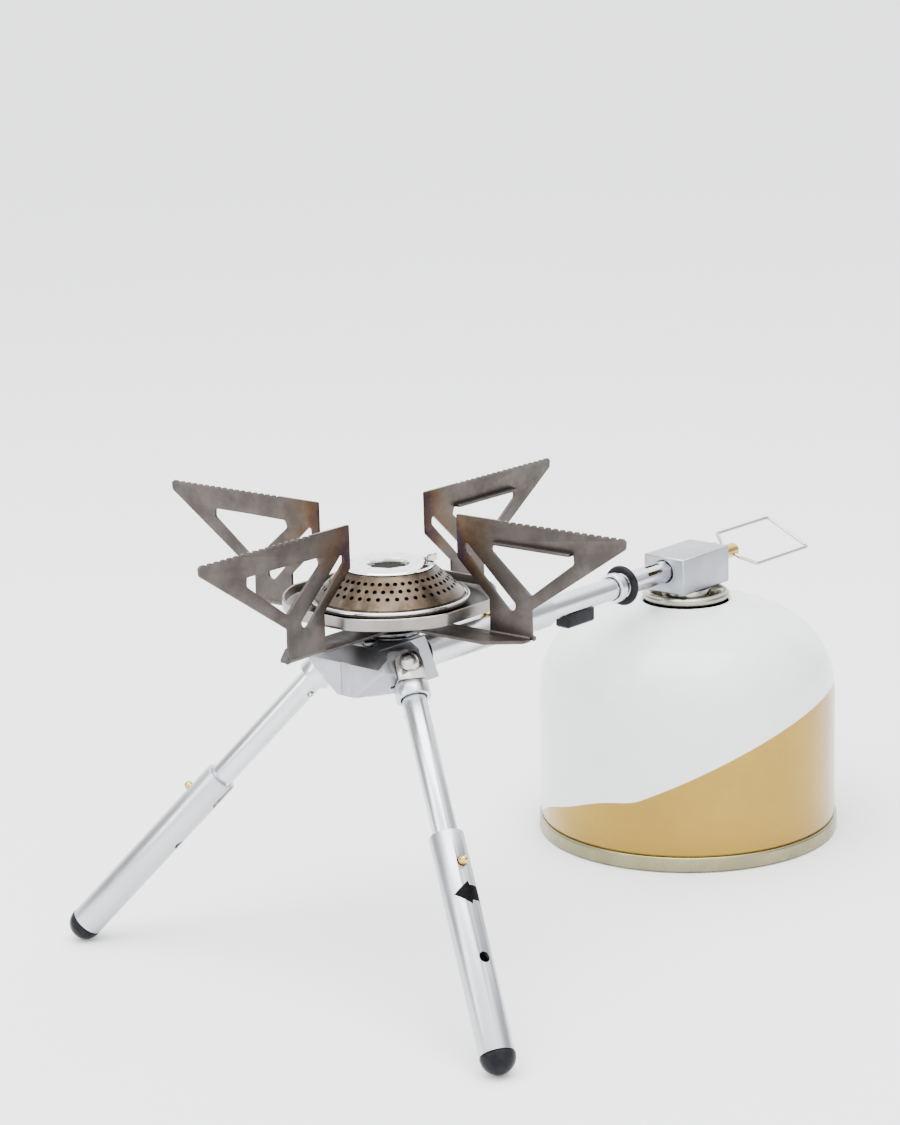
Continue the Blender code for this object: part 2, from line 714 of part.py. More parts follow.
def burner():
    at = (BURNER_X, 0, 0)
    turned(
        "burner_bowl",
        [(21.5 * MM, 120.2 * MM), (16 * MM, 119.1 * MM), (7.6 * MM, 119.0 * MM)]
        + [(7.6 * MM, 117.6 * MM), (4 * MM, 117.6 * MM), (4 * MM, 119.8 * MM)]
        + [(15.5 * MM, 119.9 * MM), (21.5 * MM, 121.0 * MM)],
        dark_steel(),
        at,
        steps=32,
    )
    turned(
        "burner_rim",
        [(25.6 * MM, 122.0 * MM), (RIM_RADIUS, 121.5 * MM), (RIM_RADIUS, 120.5 * MM)]
        + [(25.6 * MM, 120.0 * MM), (21.9 * MM, 120.0 * MM), (21.9 * MM, 121.2 * MM)]
        + [(24.6 * MM, 121.2 * MM)],
        bright_steel(),
        at,
        steps=32,
    )
    turned(
        "flame_cone",
        [(CAP_RADIUS, 131 * MM), (CONE_RADIUS - 1.0 * MM, 122.6 * MM)]
        + [(CONE_RADIUS - 1.0 * MM, 121.6 * MM), (CONE_RADIUS - 2 * MM, 121.6 * MM)]
        + [(CONE_RADIUS - 2 * MM, 122.2 * MM), (CAP_RADIUS - 1 * MM, 130.2 * MM)]
        + [(CAP_RADIUS - 2.5 * MM, 130.2 * MM), (CAP_RADIUS - 2.5 * MM, 131 * MM)],
        burner_steel(),
        at,
        steps=32,
    )
    cap = turned(
        "burner_cap",
        [(0, CAP_TOP + 0.6 * MM), (CAP_RADIUS - 1.2 * MM, CAP_TOP + 0.6 * MM)]
        + [(CAP_RADIUS, CAP_TOP), (CAP_RADIUS, 131.3 * MM), (0, 131.3 * MM)],
        bright_steel(),
        at,
        steps=40,
    )
    recess = rod("recess", RECESS_RADIUS, 131.7 * MM, 140 * MM, at=at, turn=(0, 0, pi / 8), steps=8)
    cut(cap, recess)
    turned(
        "spark_hood",
        [(2.0 * MM, 3.2 * MM), (2.0 * MM, 0), (1.3 * MM, 0), (1.3 * MM, 3.2 * MM)],
        bright_steel(),
        SPARK_HOOD_AT,
        steps=16,
    )


def arm():
    along = (0, pi / 2, 0)
    start = (BURNER_X, 0, ARM_Z)
    sleeve = turned(
        "arm_sleeve",
        [(SLEEVE_RADIUS - 0.6 * MM, SLEEVE_END), (SLEEVE_RADIUS, SLEEVE_END - 0.6 * MM)]
        + [(SLEEVE_RADIUS, 13.8 * MM), (4.0 * MM, 13.8 * MM), (4.0 * MM, 5.6 * MM)]
        + [(3.0 * MM, 5.6 * MM), (3.0 * MM, 60 * MM), (4.3 * MM, 60 * MM), (4.3 * MM, SLEEVE_END)],
        aluminium(),
        start,
        along,
    )
    cut(sleeve, rod("plug_hole", 1.5 * MM, 3.5 * MM, 9 * MM, at=PLUG_AT, steps=12))
    turned(
        "sleeve_plug",
        [(0, 8.0 * MM), (1.4 * MM, 7.8 * MM), (1.9 * MM, 7.3 * MM), (1.9 * MM, 6.0 * MM)]
        + [(1.2 * MM, 6.0 * MM), (1.2 * MM, 3.9 * MM), (0, 3.9 * MM)],
        brass(),
        PLUG_AT,
        steps=12,
    )
    tube = pipe(
        "arm_tube", TUBE_RADIUS, 3.0 * MM, 60.3 * MM, BLOCK_START + 6 * MM, aluminium(), start, along, 32
    )
    for shift in (-1.6 * MM, 1.6 * MM):
        low = (BURNER_X + SLOT_START + shift / 2, shift - 0.6 * MM, ARM_Z)
        high = (low[0] + SLOT_LENGTH, shift + 0.6 * MM, ARM_Z + 6 * MM)
        slot = box("air_slot", low, high)
        spin = Matrix.Rotation(SLOT_TURN, 4, "X")
        place(slot, Matrix.Translation((0, 0, ARM_Z)) @ spin @ Matrix.Translation((0, 0, -ARM_Z)))
        cut(tube, slot)
    ring = [
        (5.75 * MM + 1.5 * MM * cos(radians(a)), 1.5 * MM * sin(radians(a))) for a in range(90, -270, -45)
    ]
    turned("stop_ring", ring, rubber(), (BURNER_X + RING_AT, 0, ARM_Z), along, 24)
    pad = box(
        "rest_pad",
        (BURNER_X + PAD_START, -3.2 * MM, 90.8 * MM),
        (BURNER_X + PAD_END, 3.2 * MM, 98.6 * MM),
        rubber(),
        0.8 * MM,
    )
    cut(pad, rod("arm_room", TUBE_RADIUS + GAP, 70 * MM, 120 * MM, at=start, turn=along))
    turned(
        "jet_nozzle",
        [(1.2 * MM, 146 * MM), (2.6 * MM, 146 * MM), (2.6 * MM, 151 * MM)][::-1]
        + [(1.2 * MM, 143.5 * MM), (0.4 * MM, 143.5 * MM), (0.4 * MM, 151 * MM)],
        brass(),
        start,
        along,
        16,
    )


def valve():
    along = (0, pi / 2, 0)
    block = box(
        "valve_block",
        (BURNER_X + BLOCK_START, -BLOCK_HALF_WIDTH, BLOCK_BOTTOM),
        (BURNER_X + BLOCK_END, BLOCK_HALF_WIDTH, BLOCK_TOP),
        aluminium(),
        0.5 * MM,
    )
    start = (BURNER_X, 0, ARM_Z)
    tube_room = rod("tube_room", TUBE_RADIUS + GAP, 130 * MM, BLOCK_START + 6.3 * MM, at=start, turn=along)
    spindle_start = (BURNER_X, 0, SPINDLE_Z)
    spindle_room = rod(
        "spindle_room", SPINDLE_RADIUS + RUNNING_GAP, 158 * MM, 200 * MM, at=spindle_start, turn=along
    )
    adaptor_room = rod("adaptor_room", 4.2 * MM, 80 * MM, 95 * MM, at=(CANISTER_X, 0, 0))
    way_in = rod("way_in", 1.2 * MM, 94 * MM, 97.5 * MM, at=(CANISTER_X + 2.5 * MM, 0, 0), steps=12)
    way_out = rod("way_out", 1.2 * MM, 150 * MM, 160 * MM, at=start, turn=along, steps=12)
    cut(block, tube_room, spindle_room, adaptor_room, way_in, way_out)
    spindle(spindle_start, along)
    nut_profile = [(0, 177.6 * MM), (4.6 * MM, 177.6 * MM), (5.2 * MM, 177.0 * MM)]
    nut_profile += [(5.2 * MM, 173.8 * MM), (0, 173.8 * MM)]
    nut = turned("gland_nut", nut_profile, brass(), spindle_start, along, 6)
    cut(nut, rod("nut_bore", SPINDLE_RADIUS + RUNNING_GAP, 170 * MM, 180 * MM, at=spindle_start, turn=along))


def spindle(start, along):
    """The turning stem, with a cross hole near its end for the handle's wire."""
    stem = turned(
        "valve_spindle",
        [(0, SPINDLE_END), (SPINDLE_RADIUS - 0.6 * MM, SPINDLE_END)]
        + [(SPINDLE_RADIUS, SPINDLE_END - 0.6 * MM), (SPINDLE_RADIUS, 163 * MM)]
        + [(0.5 * MM, 159.5 * MM), (0, 159.5 * MM)],
        brass(),
        start,
        along,
    )
    hole = rod("wire_hole", WIRE_RADIUS + RUNNING_GAP, -6 * MM, 6 * MM, steps=12)
    hole.rotation_euler.x = pi / 2 + HANDLE_TURN
    hole.location = (BURNER_X + HANDLE_PIVOT, 0, SPINDLE_Z)
    return cut(stem, hole)


def handle():
    """One wire, bent to a frame, whose two ends spring into the stem's cross hole."""
    half = HANDLE_HALF_WIDTH
    middle = (HANDLE_END - WIRE_RADIUS) - HANDLE_PIVOT
    near = HANDLE_START - HANDLE_PIVOT
    right = [(0, 0.3 * MM, 0), (0, 4.2 * MM, 0), (near, half, 0), (middle, half, 0), (middle, 0, 0)]
    side = bend(right, 1.6 * MM)
    path = side[:-1] + [Vector((p.x, -p.y, p.z)) for p in reversed(side[:-1])]
    made = wire("wire_handle", path, WIRE_RADIUS, bright_steel())
    spin = Matrix.Rotation(HANDLE_TURN, 4, "X")
    return place(made, Matrix.Translation((BURNER_X + HANDLE_PIVOT, 0, SPINDLE_Z)) @ spin)


def adaptor():
    at = (CANISTER_X, 0, 0)
    turned(
        "canister_adaptor",
        [(9 * MM, 90.7 * MM), (9 * MM, 83 * MM), (STUB_RADIUS + RUNNING_GAP, 83 * MM)]
        + [(STUB_RADIUS + RUNNING_GAP, 89.2 * MM), (2.2 * MM, 89.2 * MM), (2.2 * MM, 90.7 * MM)],
        dark_steel(),
        at,
        steps=32,
    )
    turned(
        "adaptor_seal",
        [(4.6 * MM, 88.9 * MM), (5.3 * MM, 88.4 * MM), (4.6 * MM, 87.9 * MM), (3.9 * MM, 88.4 * MM)],
        rubber(),
        at,
        steps=24,
    )
    turned(
        "valve_pin",
        [(0, 94.6 * MM), (3.0 * MM, 94.6 * MM), (3.0 * MM, 91.0 * MM), (1.2 * MM, 91.0 * MM)]
        + [(1.2 * MM, 86.6 * MM), (0, 86.6 * MM)],
        brass(),
        at,
        steps=16,
    )


def canister():
    at = (CANISTER_X, 0, 0)
    shoulder = [(16.6, 86.2), (26.4, 84.4), (38.2, 79.6), (46.1, 73.6), (51.6, 65.3), (53.8, 57.0)]
    outside = [(r * MM, z * MM) for r, z in shoulder]
    outside += [(WALL_RADIUS, 50 * MM), (WALL_RADIUS, 5.6 * MM)]
    inside = [(r - SHELL_WALL, z - SHELL_WALL) for r, z in outside[:-2]]
    inside += [(WALL_RADIUS - SHELL_WALL, 50 * MM), (WALL_RADIUS - SHELL_WALL, 5.6 * MM)]
    turned("canister_shell", outside + inside[::-1], paint(), at, steps=40)
    seam = [
        (SEAM_RADIUS - 0.6 * MM, 5.3 * MM), (SEAM_RADIUS, 4.7 * MM), (SEAM_RADIUS, 0.6 * MM),
        (SEAM_RADIUS - 0.6 * MM, 0), (SEAM_RADIUS - 2.2 * MM, 0), (SEAM_RADIUS - 2.8 * MM, 2 * MM),
        (36 * MM, 9 * MM), (18 * MM, 12 * MM), (0, 13 * MM), (0, 13.8 * MM),
        (18 * MM, 12.8 * MM), (36 * MM, 9.8 * MM), (52.0 * MM, 4.0 * MM), (52.4 * MM, 5.3 * MM),
    ]
    base_profile = seam[9:] + seam[:9]
    turned("canister_base", base_profile, bright_steel(), at, steps=40)
    curl = [
        (14.3 * MM + 1.6 * MM * cos(radians(a)), 88.2 * MM + 1.6 * MM * sin(radians(a)))
        for a in (90, 45, 0, -45, -90)
    ]
    cup = curl + [
        (13.0 * MM, 85.4 * MM), (12.9 * MM, 78.8 * MM), (STUB_RADIUS + 0.8 * MM, 78.8 * MM),
        (STUB_RADIUS + 0.8 * MM, 79.6 * MM), (12.1 * MM, 79.6 * MM), (12.1 * MM, 86.4 * MM),
        (13.0 * MM, 89.2 * MM),
    ]
    turned("canister_cup", cup, bright_steel(), at, steps=24)
    turned(
        "canister_stub",
        [(2.0 * MM, 87.6 * MM), (STUB_RADIUS, 87.6 * MM), (STUB_RADIUS, 76 * MM), (2.0 * MM, 76 * MM)],
        bright_steel(),
        at,
        steps=32,
    )


clear_scene()
STOVE = new_collection("camping_stove")
hub()
column()
support_bar("support_lower", LOWER_BAR_Z, LOWER_BAR_ANGLE)
support_bar("support_upper", UPPER_BAR_Z, UPPER_BAR_ANGLE)
dish()
burner()
arm()
valve()
handle()
adaptor()
canister()
for leg_name, leg_side in LEGS.items():
    leg(leg_name, leg_side)
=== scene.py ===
"""Camping stove: the looks of every piece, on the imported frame.

Every piece is made in place, in metres, with its object at the origin. Machined parts are the frame's own
solids, merged and with their edges broken. Turned, pressed and bent parts are made again, smoother and
with their fine detail, and each replaces the frame's solid of the same name."""

import json
from math import cos, pi, radians, sin

import bmesh
import bpy
from mathutils import Matrix, Vector


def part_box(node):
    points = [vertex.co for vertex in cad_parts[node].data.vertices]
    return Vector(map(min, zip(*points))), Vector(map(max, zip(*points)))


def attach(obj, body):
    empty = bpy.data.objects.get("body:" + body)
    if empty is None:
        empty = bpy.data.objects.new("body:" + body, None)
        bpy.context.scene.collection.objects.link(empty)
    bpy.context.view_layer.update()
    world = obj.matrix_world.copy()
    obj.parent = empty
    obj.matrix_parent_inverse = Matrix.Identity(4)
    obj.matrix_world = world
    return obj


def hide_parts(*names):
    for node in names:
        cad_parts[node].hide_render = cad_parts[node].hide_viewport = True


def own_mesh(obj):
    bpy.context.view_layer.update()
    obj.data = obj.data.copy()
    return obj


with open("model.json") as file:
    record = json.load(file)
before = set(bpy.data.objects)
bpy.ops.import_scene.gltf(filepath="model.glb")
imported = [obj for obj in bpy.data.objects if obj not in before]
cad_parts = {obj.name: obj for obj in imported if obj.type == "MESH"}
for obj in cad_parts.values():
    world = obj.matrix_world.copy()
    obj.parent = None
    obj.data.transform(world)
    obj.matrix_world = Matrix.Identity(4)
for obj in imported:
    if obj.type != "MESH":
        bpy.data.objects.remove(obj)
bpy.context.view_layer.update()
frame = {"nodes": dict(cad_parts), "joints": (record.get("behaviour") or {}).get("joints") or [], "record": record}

MM = 0.001
NODES = frame["nodes"]
JOINTS = {joint["name"]: joint for joint in frame["joints"]}
BODY_OF = {
    node: body for body, nodes in frame["record"]["behaviour"]["bodies"].items() for node in nodes
}
SLOT_OF = {part["node"]: part["material_slot"] for part in frame["record"]["subparts"]}


def middle(node):
    low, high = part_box(node)
    return (low + high) / 2


BURNER = Vector((middle("burner_column").x, 0, 0))
CANISTER = Vector((middle("canister_base").x, 0, 0))
ARM_Z = middle("arm_tube").z
SUPPORT_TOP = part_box("support_lower")[1].z
SHELL_RADIUS = 54.2
BUTTON_DOWN = 70


# ---------------------------------------------------------------------------------------- node trees


class Tree:
    """A shader or geometry tree, with short calls to add a node and to feed its sockets."""

    def __init__(self, tree):
        self.tree = tree

    def feed(self, socket, value):
        if isinstance(value, bpy.types.NodeSocket):
            self.tree.links.new(value, socket)
        elif isinstance(value, (int, float, bool, str)) or not hasattr(socket.default_value, "__len__"):
            socket.default_value = value
        else:
            socket.default_value = tuple(value)[: len(socket.default_value)]

    def add(self, kind, inputs=None, **settings):
        node = self.tree.nodes.new(kind)
        for name, value in settings.items():
            setattr(node, name, value)
        for name, value in (inputs or {}).items():
            self.feed(node.inputs[name], value)
        return node

    def math(self, operation, *values, clamp=False):
        kind = "ShaderNodeMath"
        node = self.add(kind, dict(enumerate(values)), operation=operation, use_clamp=clamp)
        return node.outputs[0]

    def vector(self, operation, *values):
        node = self.add("ShaderNodeVectorMath", dict(enumerate(values)), operation=operation)
        return node.outputs["Value" if operation in ("LENGTH", "DOT_PRODUCT") else "Vector"]

    def ramp(self, value, low, high, start=0.0, end=1.0):
        names = ("Value", "From Min", "From Max", "To Min", "To Max")
        inputs = dict(zip(names, (value, low, high, start, end)))
        node = self.add("ShaderNodeMapRange", inputs, interpolation_type="SMOOTHSTEP")
        return node.outputs["Result"]

    def noise(self, vector, scale, detail=2.0, roughness=0.5):
        inputs = {"Vector": vector, "Scale": scale, "Detail": detail, "Roughness": roughness}
        return self.add("ShaderNodeTexNoise", inputs).outputs["Fac"]

    def mix(self, factor, first, second, blend="MIX"):
        node = self.tree.nodes.new("ShaderNodeMix")
        node.data_type = "RGBA"
        node.blend_type = blend
        for socket, value in ((0, factor), (6, first), (7, second)):
            self.feed(node.inputs[socket], value)
        return node.outputs[2]


def new_group(name, kind, inputs, outputs):
    """A node group with named sockets. Each input is (name, socket type, default)."""
    tree = bpy.data.node_groups.new(name, kind)
    for title, socket, default in inputs:
        made = tree.interface.new_socket(title, in_out="INPUT", socket_type="NodeSocket" + socket)
        if default is not None:
            made.default_value = default
    for title, socket in outputs:
        tree.interface.new_socket(title, in_out="OUTPUT", socket_type="NodeSocket" + socket)
    made = Tree(tree)
    return made, made.add("NodeGroupInput").outputs, made.add("NodeGroupOutput").inputs


# ---------------------------------------------------------------------------------- shader groups


def blasted_group():
    """The even, fine tooth of a bead-blasted or matt surface."""
    tree, given, out = new_group(
        "blasted_tooth",
        "ShaderNodeTree",
        [("Vector", "Vector", None), ("Scale", "Float", 5000.0)],
        [("Height", "Float")],
    )
    fine = tree.noise(given["Vector"], given["Scale"], 3.0, 0.6)
    coarse = tree.noise(given["Vector"], tree.math("MULTIPLY", given["Scale"], 0.23))
    tree.feed(out["Height"], tree.math("MULTIPLY_ADD", coarse, 0.5, fine))
    return tree.tree


def lathe_group():
    """Faint turning lines round a rod, from the distance along it."""
    tree, given, out = new_group(
        "lathe_lines",
        "ShaderNodeTree",
        [("Along", "Float", 0.0), ("Pitch", "Float", 3000.0)],
        [("Height", "Float")],
    )
    place = tree.add("ShaderNodeCombineXYZ", {"X": given["Along"]}).outputs[0]
    tree.feed(out["Height"], tree.noise(place, given["Pitch"], 4.0, 0.7))
    return tree.tree


def smudge_group():
    """Patches where handling has left a surface duller or shinier."""
    tree, given, out = new_group(
        "handling_smudges",
        "ShaderNodeTree",
        [("Vector", "Vector", None), ("Scale", "Float", 60.0)]
        + [("Low", "Float", 0.3), ("High", "Float", 0.4)],
        [("Roughness", "Float"), ("Mask", "Float")],
    )
    warp = tree.noise(given["Vector"], given["Scale"], 5.0, 0.6)
    mask = tree.ramp(warp, 0.35, 0.65)
    span = tree.math("SUBTRACT", given["High"], given["Low"])
    tree.feed(out["Roughness"], tree.math("MULTIPLY_ADD", mask, span, given["Low"]))
    tree.feed(out["Mask"], mask)
    return tree.tree


def wear_group():
    """Edges rubbed to a lighter colour."""
    tree, given, out = new_group(
        "edge_wear",
        "ShaderNodeTree",
        [("Vector", "Vector", None), ("Colour", "Color", (0.5, 0.5, 0.5, 1))]
        + [("Worn Colour", "Color", (0.8, 0.8, 0.8, 1)), ("Amount", "Float", 0.5)],
        [("Colour", "Color"), ("Mask", "Float")],
    )
    edge = tree.ramp(tree.add("ShaderNodeNewGeometry").outputs["Pointiness"], 0.52, 0.62)
    broken = tree.ramp(tree.noise(given["Vector"], 400.0, 4.0, 0.7), 0.3, 0.6)
    mask = tree.math("MULTIPLY", tree.math("MULTIPLY", edge, broken), given["Amount"], clamp=True)
    tree.feed(out["Mask"], mask)
    tree.feed(out["Colour"], tree.mix(mask, given["Colour"], given["Worn Colour"]))
    return tree.tree


def heat_group():
    """The straw, brown, purple and blue that a flame leaves on steel, strongest near the flame."""
    tree, given, out = new_group(
        "heat_tint",
        "ShaderNodeTree",
        [("Vector", "Vector", None), ("Centre", "Vector", None), ("Reach", "Float", 0.03)]
        + [("Colour", "Color", (0.4, 0.4, 0.4, 1)), ("Amount", "Float", 1.0)]
        + [("Cool Below", "Float", 0.118), ("Hot Above", "Float", 0.134)],
        [("Colour", "Color"), ("Heat", "Float")],
    )
    off = tree.vector("SUBTRACT", given["Vector"], given["Centre"])
    squeezed = tree.vector("MULTIPLY", off, (1.0, 1.0, 0.75))
    away = tree.math("DIVIDE", tree.vector("LENGTH", squeezed), given["Reach"])
    patchy = tree.noise(given["Vector"], 130.0, 4.0, 0.6)
    drift = tree.math("MULTIPLY_ADD", patchy, 0.9, -0.45)
    near = tree.math("SUBTRACT", 1.75, tree.math("ADD", away, drift), clamp=True)
    height = tree.add("ShaderNodeSeparateXYZ", {0: given["Vector"]}).outputs["Z"]
    heat = tree.math("MULTIPLY", near, tree.ramp(height, given["Cool Below"], given["Hot Above"]))
    tints = tree.add("ShaderNodeValToRGB", {"Fac": heat})
    stops = (
        (0.0, (1.0, 1.0, 1.0, 1)),
        (0.3, (0.98, 0.84, 0.66, 1)),
        (0.5, (0.9, 0.56, 0.32, 1)),
        (0.66, (0.52, 0.3, 0.4, 1)),
        (0.82, (0.2, 0.22, 0.55, 1)),
        (1.0, (0.34, 0.36, 0.5, 1)),
    )
    band = tints.color_ramp.elements
    band[0].position, band[0].color = stops[0]
    band[1].position, band[1].color = stops[-1]
    for position, colour in stops[1:-1]:
        band.new(position).color = colour
    tinted = tree.mix(given["Amount"], given["Colour"], tints.outputs["Color"], "MULTIPLY")
    tree.feed(out["Colour"], tinted)
    tree.feed(out["Heat"], heat)
    return tree.tree


BLASTED, LATHE, SMUDGE, WEAR, HEAT = (
    make() for make in (blasted_group, lathe_group, smudge_group, wear_group, heat_group)
)


# -------------------------------------------------------------------------------------- materials


class Finish:
    """A material with one Principled shader. Constants go on the shader's own sockets."""

    def __init__(self, name, **constants):
        self.material = bpy.data.materials.new(name)
        self.material.use_nodes = True
        self.tree = Tree(self.material.node_tree)
        self.shader = self.material.node_tree.nodes["Principled BSDF"]
        for title, value in constants.items():
            self.tree.feed(self.shader.inputs[title.replace("_", " ")], value)
        self.place = self.tree.add("ShaderNodeTexCoord").outputs["Object"]

    def use(self, tree, **inputs):
        node = self.tree.add("ShaderNodeGroup", node_tree=tree)
        for title, value in inputs.items():
            self.tree.feed(node.inputs[title.replace("_", " ")], value)
        return node.outputs

    def set(self, title, value):
        self.tree.feed(self.shader.inputs[title], value)

    def bump(self, *layers):
        """Each layer is (height, strength, distance)."""
        normal = None
        for height, strength, distance in layers:
            inputs = {"Height": height, "Strength": strength, "Distance": distance}
            if normal:
                inputs["Normal"] = normal
            normal = self.tree.add("ShaderNodeBump", inputs).outputs["Normal"]
        self.set("Normal", normal)


def metal(name, colour, worn, rough, tooth=0.0, lines=0.0, wear=0.4, blotch=0.12):
    """A bare metal: worn edges, smudged sheen, and a blasted or turned surface."""
    look = Finish(name, Metallic=1.0)
    smudge = look.use(SMUDGE, Vector=look.place, Scale=90.0, Low=rough[0], High=rough[1])
    darker = tuple(part * (1 - blotch) for part in colour[:3]) + (1,)
    base = look.tree.mix(smudge["Mask"], (*colour[:3], 1), darker)
    edges = look.use(WEAR, Vector=look.place, Colour=base, Worn_Colour=(*worn, 1), Amount=wear)
    look.set("Base Color", edges["Colour"])
    look.set("Roughness", smudge["Roughness"])
    layers = []
    if tooth:
        layers.append((look.use(BLASTED, Vector=look.place, Scale=4200.0)["Height"], tooth, 0.00004))
    if lines:
        along = look.tree.add("ShaderNodeAttribute", attribute_name="along").outputs["Fac"]
        layers.append((look.use(LATHE, Along=along, Pitch=2600.0)["Height"], lines, 0.00004))
    if layers:
        look.bump(*layers)
    return look


def canister_paint():
    """Gloss white enamel, with gold below a wave: a leaning plane's cut, with one low crest."""
    look = Finish("canister_paint", Coat_Roughness=0.06, Coat_Weight=0.35, Specular_IOR_Level=0.35)
    wave_middle = CANISTER + Vector((0, 0, 31.5 * MM))
    lean = radians(122)
    rise = 25.0 / SHELL_RADIUS
    crest_start, crest_height = 0.83, 4.4 * MM
    edge = 0.12 * MM
    off = look.tree.vector("SUBTRACT", look.place, wave_middle)
    slope = (cos(lean) * rise, sin(lean) * rise, 1.0)
    plain = look.tree.vector("DOT_PRODUCT", off, slope)
    towards_crest = Vector((-0.965, 0.262, 0)) / (SHELL_RADIUS * MM)
    around = look.tree.vector("DOT_PRODUCT", off, towards_crest)
    crest = look.tree.ramp(around, crest_start, 1.0, 0.0, crest_height)
    height = look.tree.math("SUBTRACT", plain, crest)
    gold = look.tree.ramp(height, edge, -edge)
    smudge = look.use(SMUDGE, Vector=look.place, Scale=35.0, Low=0.2, High=0.27)
    whites = look.tree.mix(smudge["Mask"], (0.72, 0.745, 0.725, 1), (0.69, 0.715, 0.695, 1))
    golds = look.tree.mix(smudge["Mask"], (0.325, 0.2, 0.022, 1), (0.295, 0.178, 0.018, 1))
    look.set("Base Color", look.tree.mix(gold, whites, golds))
    look.set("Metallic", look.tree.math("MULTIPLY", gold, 0.7))
    look.set("Roughness", smudge["Roughness"])
    look.bump((look.use(BLASTED, Vector=look.place, Scale=900.0)["Height"], 0.05, 0.00003))
    return look.material


def heated_steel():
    """Stamped sheet, warm grey, tinted where the flame reaches its inner top."""
    colour, worn = (0.09, 0.077, 0.07), (0.17, 0.15, 0.14)
    look = metal("heated_steel", colour, worn, (0.36, 0.48), 0.6, wear=0.25, blotch=0.3)
    base = look.shader.inputs["Base Color"].links[0].from_socket
    centre = BURNER + Vector((0, 0, 136 * MM))
    tint = look.use(HEAT, Vector=look.place, Centre=centre, Reach=24 * MM, Colour=base, Amount=0.9)
    look.set("Base Color", tint["Colour"])
    return look.material


def flame_steel():
    """The perforated cone, browned all over and darker in random patches."""
    look = metal("burner_steel", (0.078, 0.059, 0.043), (0.25, 0.2, 0.15), (0.26, 0.38), 0.3, wear=0.25)
    base = look.shader.inputs["Base Color"].links[0].from_socket
    patches = look.tree.ramp(look.tree.noise(look.place, 160.0, 4.0, 0.6), 0.4, 0.62)
    look.set("Base Color", look.tree.mix(patches, base, (0.045, 0.031, 0.021, 1)))
    return look.material


def dish_steel():
    """Bright outside its wall, and painted near-black inside it, as shade under the burner."""
    look = metal("dish_steel", (0.24, 0.22, 0.205), (0.4, 0.38, 0.36), (0.3, 0.4), 0.25, 0.2)
    base = look.shader.inputs["Base Color"].links[0].from_socket
    shade_from, shade_full = 32.6 * MM, 31.0 * MM
    floor_under, floor_top = 118.2 * MM, 118.5 * MM
    off = look.tree.vector("MULTIPLY", look.tree.vector("SUBTRACT", look.place, BURNER), (1, 1, 0))
    within = look.tree.ramp(look.tree.vector("LENGTH", off), shade_from, shade_full)
    above = look.tree.add("ShaderNodeSeparateXYZ", {0: look.place}).outputs["Z"]
    # Painted shade: the dish's floor and inner wall, under the burner, are darkened to near-black.
    inside = look.tree.math("MULTIPLY", within, look.tree.ramp(above, floor_under, floor_top))
    look.set("Base Color", look.tree.mix(inside, base, (0.035, 0.03, 0.027, 1)))
    return look.material


def matt_black(name, colour, rough, tooth):
    """Rubber, print, and a near-black that paints shade into hollows, each with a dusty bloom."""
    look = Finish(name, Specular_IOR_Level=0.1)
    dust = look.use(SMUDGE, Vector=look.place, Scale=220.0, Low=rough[0], High=rough[1])
    paler = tuple(part + 0.006 for part in colour) + (1,)
    look.set("Base Color", look.tree.mix(dust["Mask"], (*colour, 1), paler))
    look.set("Roughness", dust["Roughness"])
    look.bump((look.use(BLASTED, Vector=look.place, Scale=2600.0)["Height"], tooth, 0.00006))
    return look.material


def pale_floor():
    look = Finish("pale_floor", Roughness=0.85)
    faint = look.tree.noise(look.place, 3.0, 2.0)
    look.set("Base Color", look.tree.mix(faint, (0.84, 0.84, 0.845, 1), (0.86, 0.86, 0.865, 1)))
    return look.material


SATIN_ALUMINIUM = metal(
    "satin_aluminium", (0.35, 0.365, 0.395), (0.6, 0.61, 0.63), (0.38, 0.48), 0.5, wear=0.3, blotch=0.06
).material
FOOT_TUBE_ALUMINIUM = metal(
    "foot_tube_aluminium", (0.5, 0.515, 0.55), (0.68, 0.69, 0.71), (0.28, 0.35), 0.3, 0.1, blotch=0.04
).material
TURNED_ALUMINIUM = metal(
    "turned_aluminium", (0.62, 0.64, 0.675), (0.8, 0.81, 0.83), (0.23, 0.28), 0.15, 0.3, blotch=0.04
).material
BRIGHT_STEEL = metal(
    "bright_steel", (0.5, 0.485, 0.465), (0.72, 0.7, 0.68), (0.13, 0.2), 0.08, blotch=0.08
).material
POLISHED_STEEL = metal(
    "polished_steel", (0.8, 0.785, 0.76), (0.88, 0.87, 0.86), (0.09, 0.15), 0.06, blotch=0.06
).material
HEATED_STEEL = heated_steel()
DISH_STEEL = dish_steel()
DARK_STEEL = metal(
    "dark_steel", (0.045, 0.045, 0.05), (0.22, 0.22, 0.23), (0.24, 0.34), 0.2, wear=0.8
).material
BURNER_STEEL = flame_steel()
BRASS = metal(
    "brass_parts", (0.62, 0.4, 0.13), (0.85, 0.66, 0.34), (0.18, 0.3), 0.1, 0.2, blotch=0.2
).material
BLACK_RUBBER = matt_black("black_rubber", (0.0045, 0.0045, 0.0065), (0.25, 0.4), 0.25)
PRINT = matt_black("arrow_print", (0.003, 0.0025, 0.004), (0.5, 0.6), 0.1)
# Near-black painted shade, set inside the flame cone, in the cap's well and in the spark hood's mouth.
SHADE_BLACK = matt_black("painted_shade_black", (0.008, 0.0065, 0.005), (0.75, 0.9), 0.3)
CANISTER_PAINT = canister_paint()
CANISTER_STEEL = metal(
    "canister_steel", (0.36, 0.34, 0.28), (0.6, 0.58, 0.5), (0.2, 0.3), 0.15, blotch=0.12
).material
SEAM_STEEL = metal(
    "seam_steel", (0.27, 0.25, 0.15), (0.46, 0.43, 0.28), (0.24, 0.34), 0.15, blotch=0.15
).material

